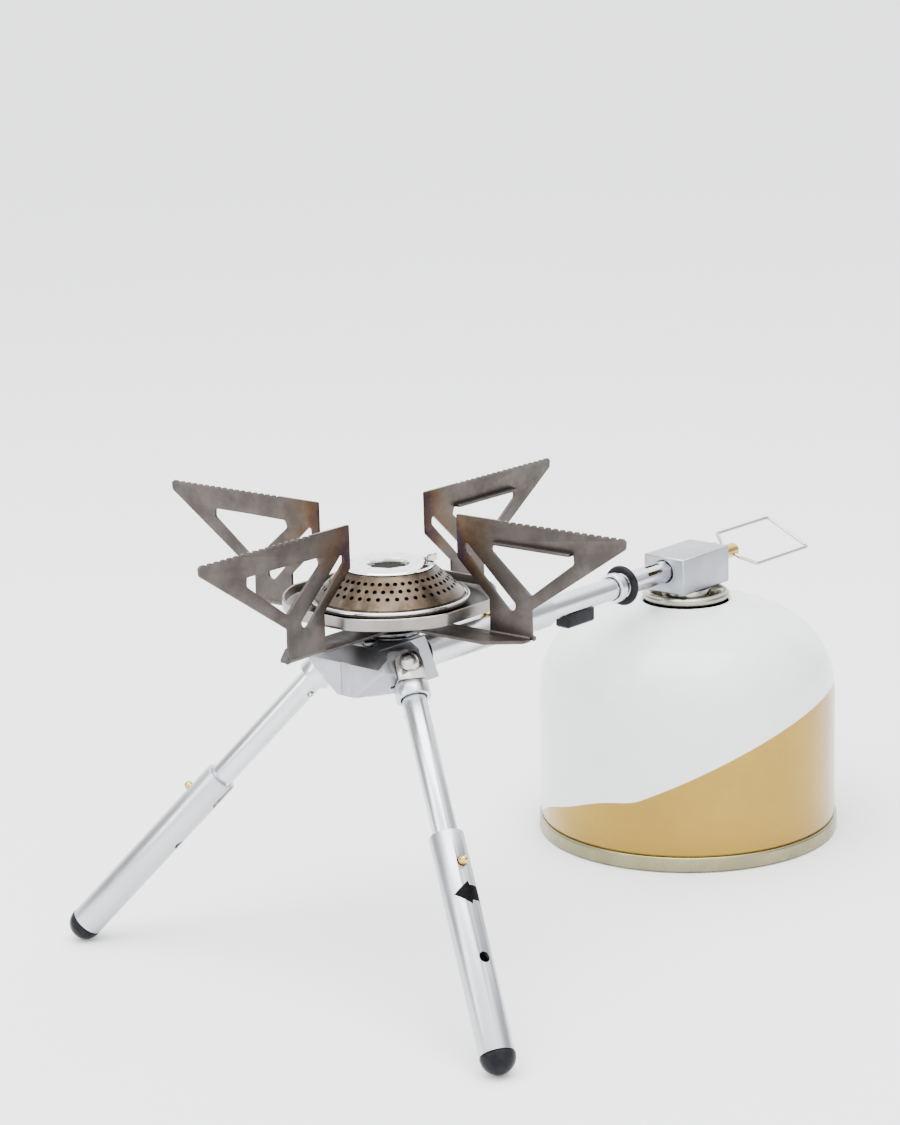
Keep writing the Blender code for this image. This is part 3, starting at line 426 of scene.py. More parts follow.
FINISH_OF = {
    "satin_aluminium": SATIN_ALUMINIUM,
    "bright_steel": BRIGHT_STEEL,
    "heated_steel": HEATED_STEEL,
    "dark_steel": DARK_STEEL,
    "burner_steel": BURNER_STEEL,
    "brass_parts": BRASS,
    "black_rubber": BLACK_RUBBER,
    "canister_paint": CANISTER_PAINT,
    "canister_steel": CANISTER_STEEL,
}


# ------------------------------------------------------------------------------------ making meshes


def new_object(name, mesh):
    made = bpy.data.objects.new(name, mesh)
    bpy.context.scene.collection.objects.link(made)
    return made


def settled(thing):
    """The object with its modifiers turned into a plain mesh."""
    bpy.context.view_layer.update()
    graph = bpy.context.evaluated_depsgraph_get()
    mesh = bpy.data.meshes.new_from_object(thing.evaluated_get(graph))
    thing.modifiers.clear()
    thing.data = mesh
    return thing


def finished_mesh(name, solid):
    """The solid as a mesh, with its faces turned outwards."""
    bmesh.ops.recalc_face_normals(solid, faces=solid.faces)
    mesh = bpy.data.meshes.new(name)
    solid.to_mesh(mesh)
    solid.free()
    return mesh


def curve_mesh(name, curve):
    """The mesh that a curve makes."""
    thing = new_object(name, curve)
    bpy.context.view_layer.update()
    graph = bpy.context.evaluated_depsgraph_get()
    mesh = bpy.data.meshes.new_from_object(thing.evaluated_get(graph))
    bpy.data.objects.remove(thing, do_unlink=True)
    return mesh


def skinned(name, rings):
    """A closed skin over rings of points, each joined to the next and the last to the first."""
    solid = bmesh.new()
    made = [[solid.verts.new(point) for point in ring] for ring in rings]
    count = len(made[0])
    for upper, lower in zip(made, made[1:] + made[:1]):
        for i in range(count):
            j = (i + 1) % count
            solid.faces.new((upper[i], lower[i], lower[j], upper[j]))
    mesh = finished_mesh(name, solid)
    return measure_along(mesh, Vector(), Vector((0, 0, 1)))


def smooth(mesh, angle=35):
    mesh.shade_smooth()
    mesh.set_sharp_from_angle(angle=radians(angle))
    return mesh


def measure_along(mesh, start, direction):
    """Stores each point's distance along an axis, which the turning lines read."""
    name = "along"
    layer = mesh.attributes.get(name) or mesh.attributes.new(name, "FLOAT", "POINT")
    for vertex, value in zip(mesh.vertices, layer.data):
        value.value = (vertex.co - start).dot(direction)
    return mesh


def dress(piece, look, body, node=None):
    """Gives a finished piece its material, the body it rides on, and the frame's node it stands for."""
    piece.data.materials.clear()
    piece.data.materials.append(look)
    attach(piece, body)
    if node:
        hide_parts(node)
    return piece


def upright(origin, axis):
    """A matrix that stands +Z along an axis from an origin."""
    return Matrix.Translation(origin) @ Vector(axis).to_track_quat("Z", "Y").to_matrix().to_4x4()


def lathe(name, profile, where=None, steps=96, angle=35):
    """A turned piece. The profile lists (radius, height) in millimetres, round its whole section; it ends
    on the axis where it starts there, and otherwise closes on its first point."""
    solid = bmesh.new()
    rings = []
    for radius, height in profile:
        if radius == 0:
            rings.append([solid.verts.new((0, 0, height * MM))] * steps)
            continue
        turns = [2 * pi * i / steps for i in range(steps)]
        ring = [(radius * MM * cos(a), radius * MM * sin(a), height * MM) for a in turns]
        rings.append([solid.verts.new(point) for point in ring])
    pairs = list(zip(rings, rings[1:]))
    if profile[0][0] > 0:
        pairs.append((rings[-1], rings[0]))
    for upper, lower in pairs:
        for i in range(steps):
            j = (i + 1) % steps
            corners = list(dict.fromkeys((upper[i], lower[i], lower[j], upper[j])))
            if len(corners) > 2:
                solid.faces.new(corners)
    mesh = finished_mesh(name, solid)
    measure_along(mesh, Vector(), Vector((0, 0, 1)))
    if where:
        mesh.transform(where)
    return new_object(name, smooth(mesh, angle))


def arc(centre, radius, start, end, steps):
    """Points along an arc, both ends included. Angles are in degrees."""
    angles = [radians(start + (end - start) * i / steps) for i in range(steps + 1)]
    return [(centre[0] + radius * cos(a), centre[1] + radius * sin(a)) for a in angles]


def rounded(corners, radii, steps=4, closed=True):
    """Corners of a path, each rounded by its radius."""
    path = []
    count = len(corners)
    for i, (corner, radius) in enumerate(zip(corners, radii)):
        if radius == 0 or (not closed and i in (0, count - 1)):
            path.append(Vector(corner))
            continue
        here = Vector(corner)
        back = (Vector(corners[i - 1]) - here).normalized()
        on = (Vector(corners[(i + 1) % count]) - here).normalized()
        half = back.angle(on) / 2
        bulge = radius / sin(half)
        heart = here + (back + on).normalized() * bulge
        start = here + back * bulge * cos(half) - heart
        end = here + on * bulge * cos(half) - heart
        for k in range(steps + 1):
            share = k / steps
            turn = (start * (1 - share) + end * share).normalized() * radius
            path.append(heart + turn)
    return path


def plate(name, outlines, thickness, bevel=0.08):
    """A flat sheet in millimetres in XY, from z = 0 up, with its edges slightly broken."""
    curve = bpy.data.curves.new(name, "CURVE")
    curve.dimensions = "2D"
    curve.fill_mode = "BOTH"
    curve.bevel_depth = bevel * MM
    curve.bevel_resolution = 2
    curve.extrude = (thickness / 2 - bevel) * MM
    curve.offset = -bevel * MM
    for outline in outlines:
        spline = curve.splines.new("POLY")
        spline.points.add(len(outline) - 1)
        for point, place in zip(spline.points, outline):
            point.co = (place[0] * MM, place[1] * MM, 0, 1)
        spline.use_cyclic_u = True
    mesh = curve_mesh(name, curve)
    mesh.transform(Matrix.Translation((0, 0, thickness / 2 * MM)))
    solid = bmesh.new()
    solid.from_mesh(mesh)
    bmesh.ops.remove_doubles(solid, verts=solid.verts, dist=2e-6)
    bmesh.ops.recalc_face_normals(solid, faces=solid.faces)
    solid.to_mesh(mesh)
    solid.free()
    return mesh


def merged(name, meshes):
    """Several meshes as one."""
    solid = bmesh.new()
    for mesh in meshes:
        solid.from_mesh(mesh)
    made = bpy.data.meshes.new(name)
    solid.to_mesh(made)
    solid.free()
    return made


def wire(name, points, radius, resolution):
    """A round wire along a path, with closed ends."""
    curve = bpy.data.curves.new(name, "CURVE")
    curve.dimensions = "3D"
    curve.bevel_depth = radius
    curve.bevel_resolution = resolution
    curve.use_fill_caps = True
    spline = curve.splines.new("POLY")
    spline.points.add(len(points) - 1)
    for point, place in zip(spline.points, points):
        point.co = (*place, 1)
    return new_object(name, smooth(curve_mesh(name, curve), 50))


def refined(node, look, bevel=0.25, segments=2, axis=None, crease=35):
    """A frame solid merged into clean faces, with its edges broken."""
    mesh = NODES[node].data.copy()
    solid = bmesh.new()
    solid.from_mesh(mesh)
    bmesh.ops.remove_doubles(solid, verts=solid.verts, dist=2e-6)
    bmesh.ops.dissolve_limit(
        solid, angle_limit=radians(0.8), verts=solid.verts, edges=solid.edges
    )
    solid.to_mesh(mesh)
    solid.free()
    made = new_object(node + "_finished", mesh)
    if bevel:
        edge = made.modifiers.new("broken_edges", "BEVEL")
        edge.width = bevel * MM
        edge.segments = segments
        edge.limit_method = "ANGLE"
        edge.angle_limit = radians(crease)
        edge.use_clamp_overlap = True
    settled(made)
    smooth(made.data, crease)
    if axis:
        measure_along(made.data, *axis)
    return dress(made, look, BODY_OF[node], node)


# ------------------------------------------------------------------------------------ repeated detail


def ring_points(tree, count, rows, top, bottom):
    """Points in level rings, each ring turned half a step from the last, and the way out from each."""
    number = tree.add("GeometryNodeInputIndex").outputs[0]
    row = tree.math("FLOOR", tree.math("DIVIDE", number, count))
    spot = tree.math("SUBTRACT", number, tree.math("MULTIPLY", row, count))
    half = tree.math("MULTIPLY", tree.math("MODULO", row, 2.0), 0.5)
    angle = tree.math("DIVIDE", tree.math("MULTIPLY", tree.math("ADD", spot, half), 2 * pi), count)
    share = tree.math("DIVIDE", row, tree.math("MAXIMUM", tree.math("SUBTRACT", rows, 1.0), 1.0))
    first = tree.add("ShaderNodeSeparateXYZ", {0: top}).outputs
    last = tree.add("ShaderNodeSeparateXYZ", {0: bottom}).outputs
    level = []
    for axis in (0, 2):
        span = tree.math("SUBTRACT", last[axis], first[axis])
        level.append(tree.math("MULTIPLY_ADD", share, span, first[axis]))
    across = tree.math("COSINE", angle)
    deep = tree.math("SINE", angle)
    x = tree.math("MULTIPLY", level[0], across)
    y = tree.math("MULTIPLY", level[0], deep)
    place = tree.add("ShaderNodeCombineXYZ", {"X": x, "Y": y, "Z": level[1]}).outputs[0]
    out = tree.add("ShaderNodeCombineXYZ", {"X": across, "Y": deep, "Z": 0.0}).outputs[0]
    total = tree.math("MULTIPLY", count, rows)
    points = tree.add("GeometryNodePoints", {"Count": total, "Position": place}).outputs[0]
    return points, out


PATTERN_INPUTS = [
    ("Geometry", "Geometry", None),
    ("Count", "Float", 48.0),
    ("Rows", "Float", 3.0),
    ("Top Ring", "Vector", None),
    ("Bottom Ring", "Vector", None),
    ("Facing Up", "Float", 1.0),
    ("Size", "Float", 0.0005),
    ("Depth", "Float", 0.002),
    ("Centre", "Vector", None),
    ("Material", "Material", None),
]


def pattern_tree(name, cutting):
    """Small round tools in rings, cut out of a piece or standing on it."""
    tree, given, out = new_group(name, "GeometryNodeTree", PATTERN_INPUTS, [("Geometry", "Geometry")])
    points, outward = ring_points(
        tree, given["Count"], given["Rows"], given["Top Ring"], given["Bottom Ring"]
    )
    upward = tree.add("ShaderNodeCombineXYZ", {"Z": given["Facing Up"]}).outputs[0]
    facing = tree.vector("ADD", outward, upward)
    turn = tree.add("FunctionNodeAlignRotationToVector", {"Vector": facing}, axis="Z").outputs[0]
    sizes = {"Vertices": 10, "Radius": given["Size"], "Depth": given["Depth"]}
    tool = tree.add("GeometryNodeMeshCylinder", sizes).outputs["Mesh"]
    placed = {"Points": points, "Instance": tool, "Rotation": turn}
    tools = tree.add("GeometryNodeInstanceOnPoints", placed).outputs[0]
    moved = {"Geometry": tools, "Translation": given["Centre"]}
    tools = tree.add("GeometryNodeTransform", moved).outputs[0]
    real = tree.add("GeometryNodeRealizeInstances", {"Geometry": tools}).outputs[0]
    if cutting:
        node = tree.add("GeometryNodeMeshBoolean", operation="DIFFERENCE", solver="EXACT")
        tree.feed(node.inputs["Mesh 1"], given["Geometry"])
        tree.feed(node.inputs["Mesh 2"], real)
    else:
        node = tree.add("GeometryNodeJoinGeometry")
        tree.tree.links.new(real, node.inputs[0])
        tree.tree.links.new(given["Geometry"], node.inputs[0])
    finish = {"Geometry": node.outputs[0], "Material": given["Material"]}
    tree.feed(out["Geometry"], tree.add("GeometryNodeSetMaterial", finish).outputs[0])
    return tree.tree


def teeth_tree():
    """Notches in a row along a sheet's top edge."""
    tree, given, out = new_group(
        "serrated_edge",
        "GeometryNodeTree",
        [("Geometry", "Geometry", None), ("Count", "Int", 15), ("Start", "Vector", None)]
        + [("Pitch", "Vector", None), ("Depth", "Float", 0.0005), ("Width", "Float", 0.004)]
        + [("Material", "Material", None)],
        [("Geometry", "Geometry")],
    )
    line = {"Count": given["Count"], "Start Location": given["Start"], "Offset": given["Pitch"]}
    row = tree.add("GeometryNodeMeshLine", line, mode="OFFSET").outputs[0]
    sizes = {"Vertices": 4, "Radius": given["Depth"], "Depth": given["Width"]}
    tool = tree.add("GeometryNodeMeshCylinder", sizes).outputs["Mesh"]
    placed = {"Points": row, "Instance": tool, "Rotation": (pi / 2, 0.0, 0.0)}
    tools = tree.add("GeometryNodeInstanceOnPoints", placed).outputs[0]
    real = tree.add("GeometryNodeRealizeInstances", {"Geometry": tools}).outputs[0]
    cut = tree.add("GeometryNodeMeshBoolean", operation="DIFFERENCE", solver="EXACT")
    tree.feed(cut.inputs["Mesh 1"], given["Geometry"])
    tree.feed(cut.inputs["Mesh 2"], real)
    finish = {"Geometry": cut.outputs[0], "Material": given["Material"]}
    tree.feed(out["Geometry"], tree.add("GeometryNodeSetMaterial", finish).outputs[0])
    return tree.tree


def coil_tree():
    """A round wire wound into an open coil along Z."""
    tree, given, out = new_group(
        "wound_coil",
        "GeometryNodeTree",
        [("Geometry", "Geometry", None), ("Turns", "Float", 3.0), ("Radius", "Float", 0.001)]
        + [("Height", "Float", 0.003), ("Wire", "Float", 0.0002), ("Material", "Material", None)],
        [("Geometry", "Geometry")],
    )
    wound = {"Resolution": 24, "Rotations": given["Turns"], "Start Radius": given["Radius"]}
    wound |= {"End Radius": given["Radius"], "Height": given["Height"]}
    path = tree.add("GeometryNodeCurveSpiral", wound).outputs[0]
    section = {"Resolution": 8, "Radius": given["Wire"]}
    ring = tree.add("GeometryNodeCurvePrimitiveCircle", section).outputs[0]
    swept = {"Curve": path, "Profile Curve": ring, "Fill Caps": True}
    body = tree.add("GeometryNodeCurveToMesh", swept).outputs[0]
    real = tree.add("GeometryNodeRealizeInstances", {"Geometry": body}).outputs[0]
    finish = {"Geometry": real, "Material": given["Material"]}
    tree.feed(out["Geometry"], tree.add("GeometryNodeSetMaterial", finish).outputs[0])
    return tree.tree


PERFORATED = pattern_tree("perforated_rings", True)
STUDDED = pattern_tree("studded_rings", False)
SERRATED = teeth_tree()
COIL = coil_tree()


def grow(thing, tree, **inputs):
    """Runs a geometry tree on an object with these inputs, and keeps the result as its mesh."""
    made = thing.modifiers.new(tree.name, "NODES")
    made.node_group = tree
    for item in tree.interface.items_tree:
        title = item.name.replace(" ", "_")
        if item.item_type == "SOCKET" and item.in_out == "INPUT" and title in inputs:
            made[item.identifier] = inputs[title]
    return settled(thing)


# -------------------------------------------------------------------------------------- the supports

SHEET = 1.0
BAR_HALF = 6.0
FOLD = 1.6


def fin_outlines(floor):
    """A fin from its side, in millimetres from the burner's axis and above the ground."""
    corners = [
        (37, floor + FOLD), (53, floor + FOLD), (53.1, floor + 0.5), (54.2, floor + 0.3),
        (54.6, floor + 0.7), (54.6, floor + 1.8), (53.6, floor + 2.0), (53.4, 122.5), (89.8, 146.8),
        (90, 149.2), (89, 150), (24.4, 150), (24.4, 136), (37, 124.5),
    ]
    radii = [0, 0, 0, 0, 0, 0.3, 0, 1.0, 1.2, 0, 0, 0.4, 1.5, 1.0]
    window = [(39, 142.3), (38, 140), (53.5, 127.2), (70.5, 139.7), (70.3, 142.7)]
    slot = [(27.6, 142.2), (27.4, 138.6), (44.2, 122.0)] + arc((45.6, 123.2), 1.8, 210, 390, 8)
    return [
        rounded(corners, radii),
        rounded(window, (0.8, 1.0, 0.9, 1.2, 0.8)),
        rounded(slot, [0.9, 1.2] + [0] * (len(slot) - 2)),
    ]


def fold_mesh(floor):
    """The round bend where the flat strip turns up into the fin."""
    edge = BAR_HALF - FOLD
    outside = arc((edge, floor + FOLD), FOLD, -90, 0, 6)
    inside = arc((edge, floor + FOLD), FOLD - SHEET, 0, -90, 6)
    section = outside + inside
    solid = bmesh.new()
    rings = [
        [solid.verts.new((x * MM, y * MM, z * MM)) for y, z in section] for x in (37.0, 53.0)
    ]
    count = len(section)
    for i in range(count):
        j = (i + 1) % count
        solid.faces.new((rings[0][i], rings[0][j], rings[1][j], rings[1][i]))
    for ring in rings:
        for i in range(6):
            solid.faces.new((ring[i], ring[i + 1], ring[count - 2 - i], ring[count - 1 - i]))
    return finished_mesh("fold", solid)


def lip_mesh():
    """The narrow flange pressed in along the top of the window."""
    outline = rounded([(39.3, 3), (70, 3), (70, 5.4), (39.3, 5.4)], (0.8, 0.8, 0, 0))
    mesh = plate("lip", [outline], SHEET, 0.15)
    mesh.transform(Matrix.Translation((0, 0, 142.3 * MM)))
    return mesh


def support(node, angle):
    """A pot support: one strip across the burner, with a serrated fin folded up at each end."""
    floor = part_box(node)[0].z / MM
    bend_edge = BAR_HALF - FOLD
    half = [(-37, -BAR_HALF), (43, -BAR_HALF), (53, 1.5), (53, bend_edge), (37, bend_edge)]
    strip = rounded(half + [(-x, -y) for x, y in half], (0.4, 1.5, 0.8, 0, 0) * 2)
    bar = plate(node, [strip, arc((0, 0), 4.8, 0, 352.5, 47)], SHEET)
    bar.transform(Matrix.Translation((0, 0, floor * MM)))
    parts = [bar]
    sheet = Matrix(((1, 0, 0, 0), (0, 0, -1, BAR_HALF * MM), (0, 1, 0, 0), (0, 0, 0, 1)))
    for half_turn in (0, pi):
        fin = plate("fin", fin_outlines(floor), SHEET)
        fin.transform(sheet)
        edge = new_object("fin", fin)
        grow(
            edge,
            SERRATED,
            Count=17,
            Start=(42.6 * MM, (BAR_HALF - SHEET / 2) * MM, SUPPORT_TOP + 0.1 * MM),
            Pitch=(2.75 * MM, 0, 0),
            Depth=0.95 * MM,
            Width=4 * MM,
            Material=HEATED_STEEL,
        )
        for mesh in (edge.data, fold_mesh(floor), lip_mesh()):
            mesh.transform(Matrix.Rotation(half_turn, 4, "Z"))
            parts.append(mesh)
        bpy.data.objects.remove(edge, do_unlink=True)
    mesh = merged(node, parts)
    mesh.transform(Matrix.Translation(BURNER) @ Matrix.Rotation(angle, 4, "Z"))
    made = new_object(node + "_finished", smooth(mesh, 16))
    return dress(made, HEATED_STEEL, BODY_OF[node], node)


# ---------------------------------------------------------------------------------------- the burner

AT_BURNER = Matrix.Translation(BURNER)
DISH_RADIUS = 34.6
DISH_FLAT = 33.1
LOWER_ANGLE = radians(0.7)
UPPER_ANGLE = radians(92.3)


def dish():
    """The drip dish, round but for a flat at each fin, with a rounded foot to its wall."""
    steps = 240
    section = [(0, 122.0), (0, 119.2)] + [
        (-1.2 + 1.2 * cos(radians(a)), 119.2 - 1.2 * sin(radians(a))) for a in (22, 45, 68, 90)
    ]
    section += [(-6, 118.0), (-26.6, 118.0), (-26.6, 118.6), (-6, 118.6)]
    section += [(-1.7, 118.65), (-0.85, 119.3), (-0.7, 122.0), (-0.35, 122.25)]
    rings = []
    for inset, height in section:
        ring = []
        for i in range(steps):
            angle = 2 * pi * i / steps
            off = (angle - LOWER_ANGLE + pi / 4) % (pi / 2) - pi / 4
            wall = min(DISH_RADIUS, DISH_FLAT / cos(off)) if inset > -20 else DISH_RADIUS
            radius = (wall + inset) * MM
            ring.append((radius * cos(angle), radius * sin(angle), height * MM))
        rings.append(ring)
    mesh = skinned("drip_dish_finished", rings)
    mesh.transform(AT_BURNER)
    made = new_object("drip_dish_finished", smooth(mesh, 40))
    return dress(made, DISH_STEEL, "stove", "drip_dish")


def burner():
    bowl = [(21.5, 120.2), (16, 119.2), (7.6, 119.0), (7.6, 117.7), (4, 117.7), (4, 119.8)]
    bowl += [(15.5, 119.9), (21.5, 120.9)]
    dress(lathe("burner_bowl_finished", bowl, AT_BURNER), DARK_STEEL, "stove", "burner_bowl")
    rim = [(24.7, 121.5), (25.2, 121.85)] + arc((25.2, 121.0), 0.95, 75, -90, 8)
    rim += [(22.2, 120.05), (21.95, 120.5), (22.2, 121.1), (24.2, 121.2)]
    dress(lathe("burner_rim_finished", rim, AT_BURNER, 160), BRIGHT_STEEL, "stove", "burner_rim")
    cone = [(15.0, 131.0), (15.3, 130.5), (23.2, 123.2), (24.2, 122.3), (24.3, 121.7), (23.4, 121.7)]
    cone += [(22.9, 122.4), (14.6, 130.0), (12.6, 130.3), (12.6, 131.0)]
    piece = lathe("flame_cone_finished", cone, AT_BURNER, 144)
    grow(
        piece,
        PERFORATED,
        Count=44.0,
        Rows=3.0,
        Top_Ring=(16.9 * MM, 0, 128.9 * MM),
        Bottom_Ring=(21.1 * MM, 0, 125.05 * MM),
        Facing_Up=1.05,
        Size=0.76 * MM,
        Depth=3.2 * MM,
        Centre=BURNER,
        Material=BURNER_STEEL,
    )
    smooth(piece.data, 30)
    dress(piece, BURNER_STEEL, "stove", "flame_cone")
    # A near-black liner just inside the flame cone: painted shade, seen through the holes.
    shade_liner = [(14.1, 129.9), (22.0, 122.7), (21.5, 122.3), (13.6, 129.5)]
    inner = lathe("flame_screen", shade_liner, AT_BURNER, 96)
    dress(inner, SHADE_BLACK, "stove")
    top = cap()
    grow(
        top,
        STUDDED,
        Count=8.0,
        Rows=2.0,
        Top_Ring=(9.4 * MM, 0, 132.05 * MM),
        Bottom_Ring=(12.7 * MM, 0, 132.0 * MM),
        Facing_Up=50.0,
        Size=0.45 * MM,
        Depth=0.36 * MM,
        Centre=BURNER,
        Material=POLISHED_STEEL,
    )
    smooth(top.data, 22)
    dress(top, POLISHED_STEEL, "stove", "burner_cap")
    # A near-black disc on the floor of the cap's well: painted shade at the bottom of the well.
    well_shade = lathe("cap_recess", [(0, 130.75), (6.05, 130.75), (6.05, 130.35), (0, 130.35)], None, 8)
    well_shade.data.transform(AT_BURNER @ Matrix.Rotation(pi / 8, 4, "Z"))
    dress(well_shade, SHADE_BLACK, "stove")


def cap():
    """A bright disc with an eight-sided well pressed into its middle."""
    round_rings = [(7.9, 132.1), (13.4, 132.1), (14.5, 131.9), (14.9, 131.6), (14.9, 131.35)]
    round_rings += [(14.3, 131.3), (8.0, 131.3)]
    well = [(6.9, 130.1), (0.5, 130.1), (0.5, 130.4), (6.4, 130.4), (6.6, 131.7), (7.1, 132.0)]
    side = pi / 4
    angles = [2 * pi * i / 144 for i in range(144)]
    rings = []
    for rows, sided in ((round_rings, False), (well, True)):
        for radius, height in rows:
            outs = [radius / (cos(a % side - side / 2) if sided else 1) * MM for a in angles]
            rings.append([(out * cos(a), out * sin(a), height * MM) for out, a in zip(outs, angles)])
    mesh = skinned("burner_cap_finished", rings)
    mesh.transform(AT_BURNER)
    return new_object("burner_cap_finished", mesh)


def spark_hood():
    """A small rolled hood on the cap's edge, whose mouth leans towards the cap's middle."""
    low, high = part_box("spark_hood")
    centre = Vector(((low.x + high.x) / 2, (low.y + high.y) / 2, low.z))
    inward = (BURNER - centre).to_2d().normalized()
    hood = [(1.75, 0), (1.75, 2.3)] + arc((1.5, 2.3), 0.25, 0, 180, 4) + [(1.25, 0)]
    made = lathe("spark_hood_finished", hood, None, 48)
    for vertex in made.data.vertices:
        lean = vertex.co.to_2d().dot(inward) / (1.75 * MM)
        vertex.co.z *= 0.62 - 0.14 * lean
    made.data.transform(Matrix.Translation(centre))
    dress(made, BRIGHT_STEEL, "stove", "spark_hood")
    # A near-black plug inside the hood: painted shade in its mouth.
    floor = lathe("hood_floor", [(0, 1.1), (1.22, 1.1), (1.22, 0.1), (0, 0.1)], None, 24)
    floor.data.transform(Matrix.Translation(centre))
    dress(floor, SHADE_BLACK, "stove")


def column():
    post = [(4.65, 113.8), (4.65, 100.2), (3.2, 100.2), (3.2, 117.1), (11.6, 117.1)]
    post += [(12.0, 116.7), (12.0, 114.2), (11.6, 113.8)]
    dress(lathe("burner_column_finished", post, AT_BURNER), DARK_STEEL, "stove", "burner_column")
    ring = [(10.9, 110.85), (10.95, 110.5), (10.9, 110.15), (5.0, 110.15), (5.0, 110.85)]
    dress(lathe("column_washer_finished", ring, AT_BURNER), DARK_STEEL, "stove", "column_washer")
    low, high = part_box("bar_spring")
    thick = 0.52 * MM
    coil = new_object("bar_spring_finished", bpy.data.meshes.new("bar_spring"))
    grow(
        coil,
        COIL,
        Turns=0.95,
        Radius=9 * MM,
        Height=high.z - low.z - 2 * thick,
        Wire=thick,
        Material=DARK_STEEL,
    )
    coil.data.transform(Matrix.Translation(BURNER + Vector((0, 0, low.z + thick))))
    smooth(coil.data, 60)
    dress(coil, DARK_STEEL, "stove", "bar_spring")
    refined("hub_screw", DARK_STEEL, 0.2)


# ------------------------------------------------------------------------------------------- the arm


def arm():
    level = (Vector((BURNER.x, 0, ARM_Z)), Vector((1, 0, 0)))
    refined("hub_block", SATIN_ALUMINIUM, 0.35)
    refined("arm_sleeve", TURNED_ALUMINIUM, 0.15, axis=level)
    refined("sleeve_plug", BRASS, 0.1)
    refined("arm_tube", TURNED_ALUMINIUM, 0.1, axis=level)
    refined("rest_pad", BLACK_RUBBER, 0.4, 3)
    refined("valve_block", SATIN_ALUMINIUM, 0.2, 2, crease=44)
    refined("gland_nut", BRASS, 0.25)
    refined("valve_spindle", BRASS, 0.1)
    refined("canister_adaptor", BRIGHT_STEEL, 0.2)
    ring_at = middle("stop_ring")
    section = arc((5.78, 0), 1.42, 90, -247.5, 15)
    ring = lathe("stop_ring_finished", section, upright(ring_at, (1, 0, 0)), 96, 60)
    dress(ring, BLACK_RUBBER, "stove", "stop_ring")
    collar = [(4.35, 1.6), (5.0, 1.6), (5.3, 1.3), (5.3, -1.3), (5.0, -1.6), (4.35, -1.6)]
    groove = lathe(
        "ring_collar", collar, upright(ring_at + Vector((-4.4 * MM, 0, 0)), (1, 0, 0)), 64
    )
    dress(groove, TURNED_ALUMINIUM, "stove")


def wire_handle():
    """One bright wire bent to a frame, its two ends sprung into the stem."""
    joint = JOINTS["handle_fold"]
    pivot = Vector(joint["pos_m"])
    across = -Vector(joint["axis"]).normalized()
    forward = Vector((1, 0, 0))
    radius = 0.68 * MM
    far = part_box("wire_handle")[1].x - pivot.x - 0.7 * MM
    half, near, stem = 10.2 * MM, 4.1 * MM, 4.2 * MM
    corners = [(0, 0.4 * MM), (0, stem), (near, half), (far, half), (far, -half), (near, -half)]
    corners += [(0, -stem), (0, -0.4 * MM)]
    path = rounded(corners, [0] + [1.5 * MM] * (len(corners) - 2) + [0], 6, closed=False)
    points = [pivot + forward * p.x + across * p.y for p in path]
    made = wire("wire_handle_finished", points, radius, 5)
    dress(made, BRIGHT_STEEL, "handle", "wire_handle")


# -------------------------------------------------------------------------------------- the canister


def canister():
    at = Matrix.Translation(CANISTER)
    shoulder = [(16.4, 86.4), (17.5, 86.1), (22, 85.3), (26.4, 84.2), (32.4, 82.2), (38.2, 79.4)]
    shoulder += [(42.5, 76.8), (46.1, 73.6), (49.1, 69.8), (51.6, 65.3), (53.0, 61.2), (53.8, 57.0)]
    wall = [(54.15, 52.0), (SHELL_RADIUS, 48.0), (SHELL_RADIUS, 12.0), (SHELL_RADIUS, 6.6)]
    wall += [(53.9, 5.7), (53.4, 5.7)]
    inner = [(r - 0.8, z - 0.8) for r, z in reversed(shoulder + wall[:3])]
    made = lathe("canister_shell_finished", shoulder + wall + inner, at, 160, 50)
    dress(made, CANISTER_PAINT, "canister", "canister_shell")
    seam = [(0, 13.8), (18, 12.8), (36, 9.8), (50, 5.0), (52.9, 5.4), (53.9, 5.6)]
    seam += arc((SHELL_RADIUS, 4.8), 0.8, 90, 0, 4) + arc((54.0, 1.0), 1.0, 0, -90, 4)
    seam += [(52.8, 0.0), (52.2, 0.6), (51.9, 2.4), (36, 9.0), (18, 12.0), (0, 13.0)]
    base = lathe("canister_base_finished", seam, at, 160, 40)
    dress(base, SEAM_STEEL, "canister", "canister_base")
    cup = arc((14.3, 88.2), 1.6, 110, -90, 12)
    cup += [(13.3, 86.2), (13.0, 85.2), (12.9, 79.6), (12.3, 78.8), (6.4, 78.8), (6.4, 79.6)]
    cup += [(11.8, 79.6), (12.1, 80.1), (12.1, 86.6), (12.7, 88.6)]
    lid = lathe("canister_cup_finished", cup, at, 128, 50)
    dress(lid, CANISTER_STEEL, "canister", "canister_cup")


# ------------------------------------------------------------------------------------------ the legs


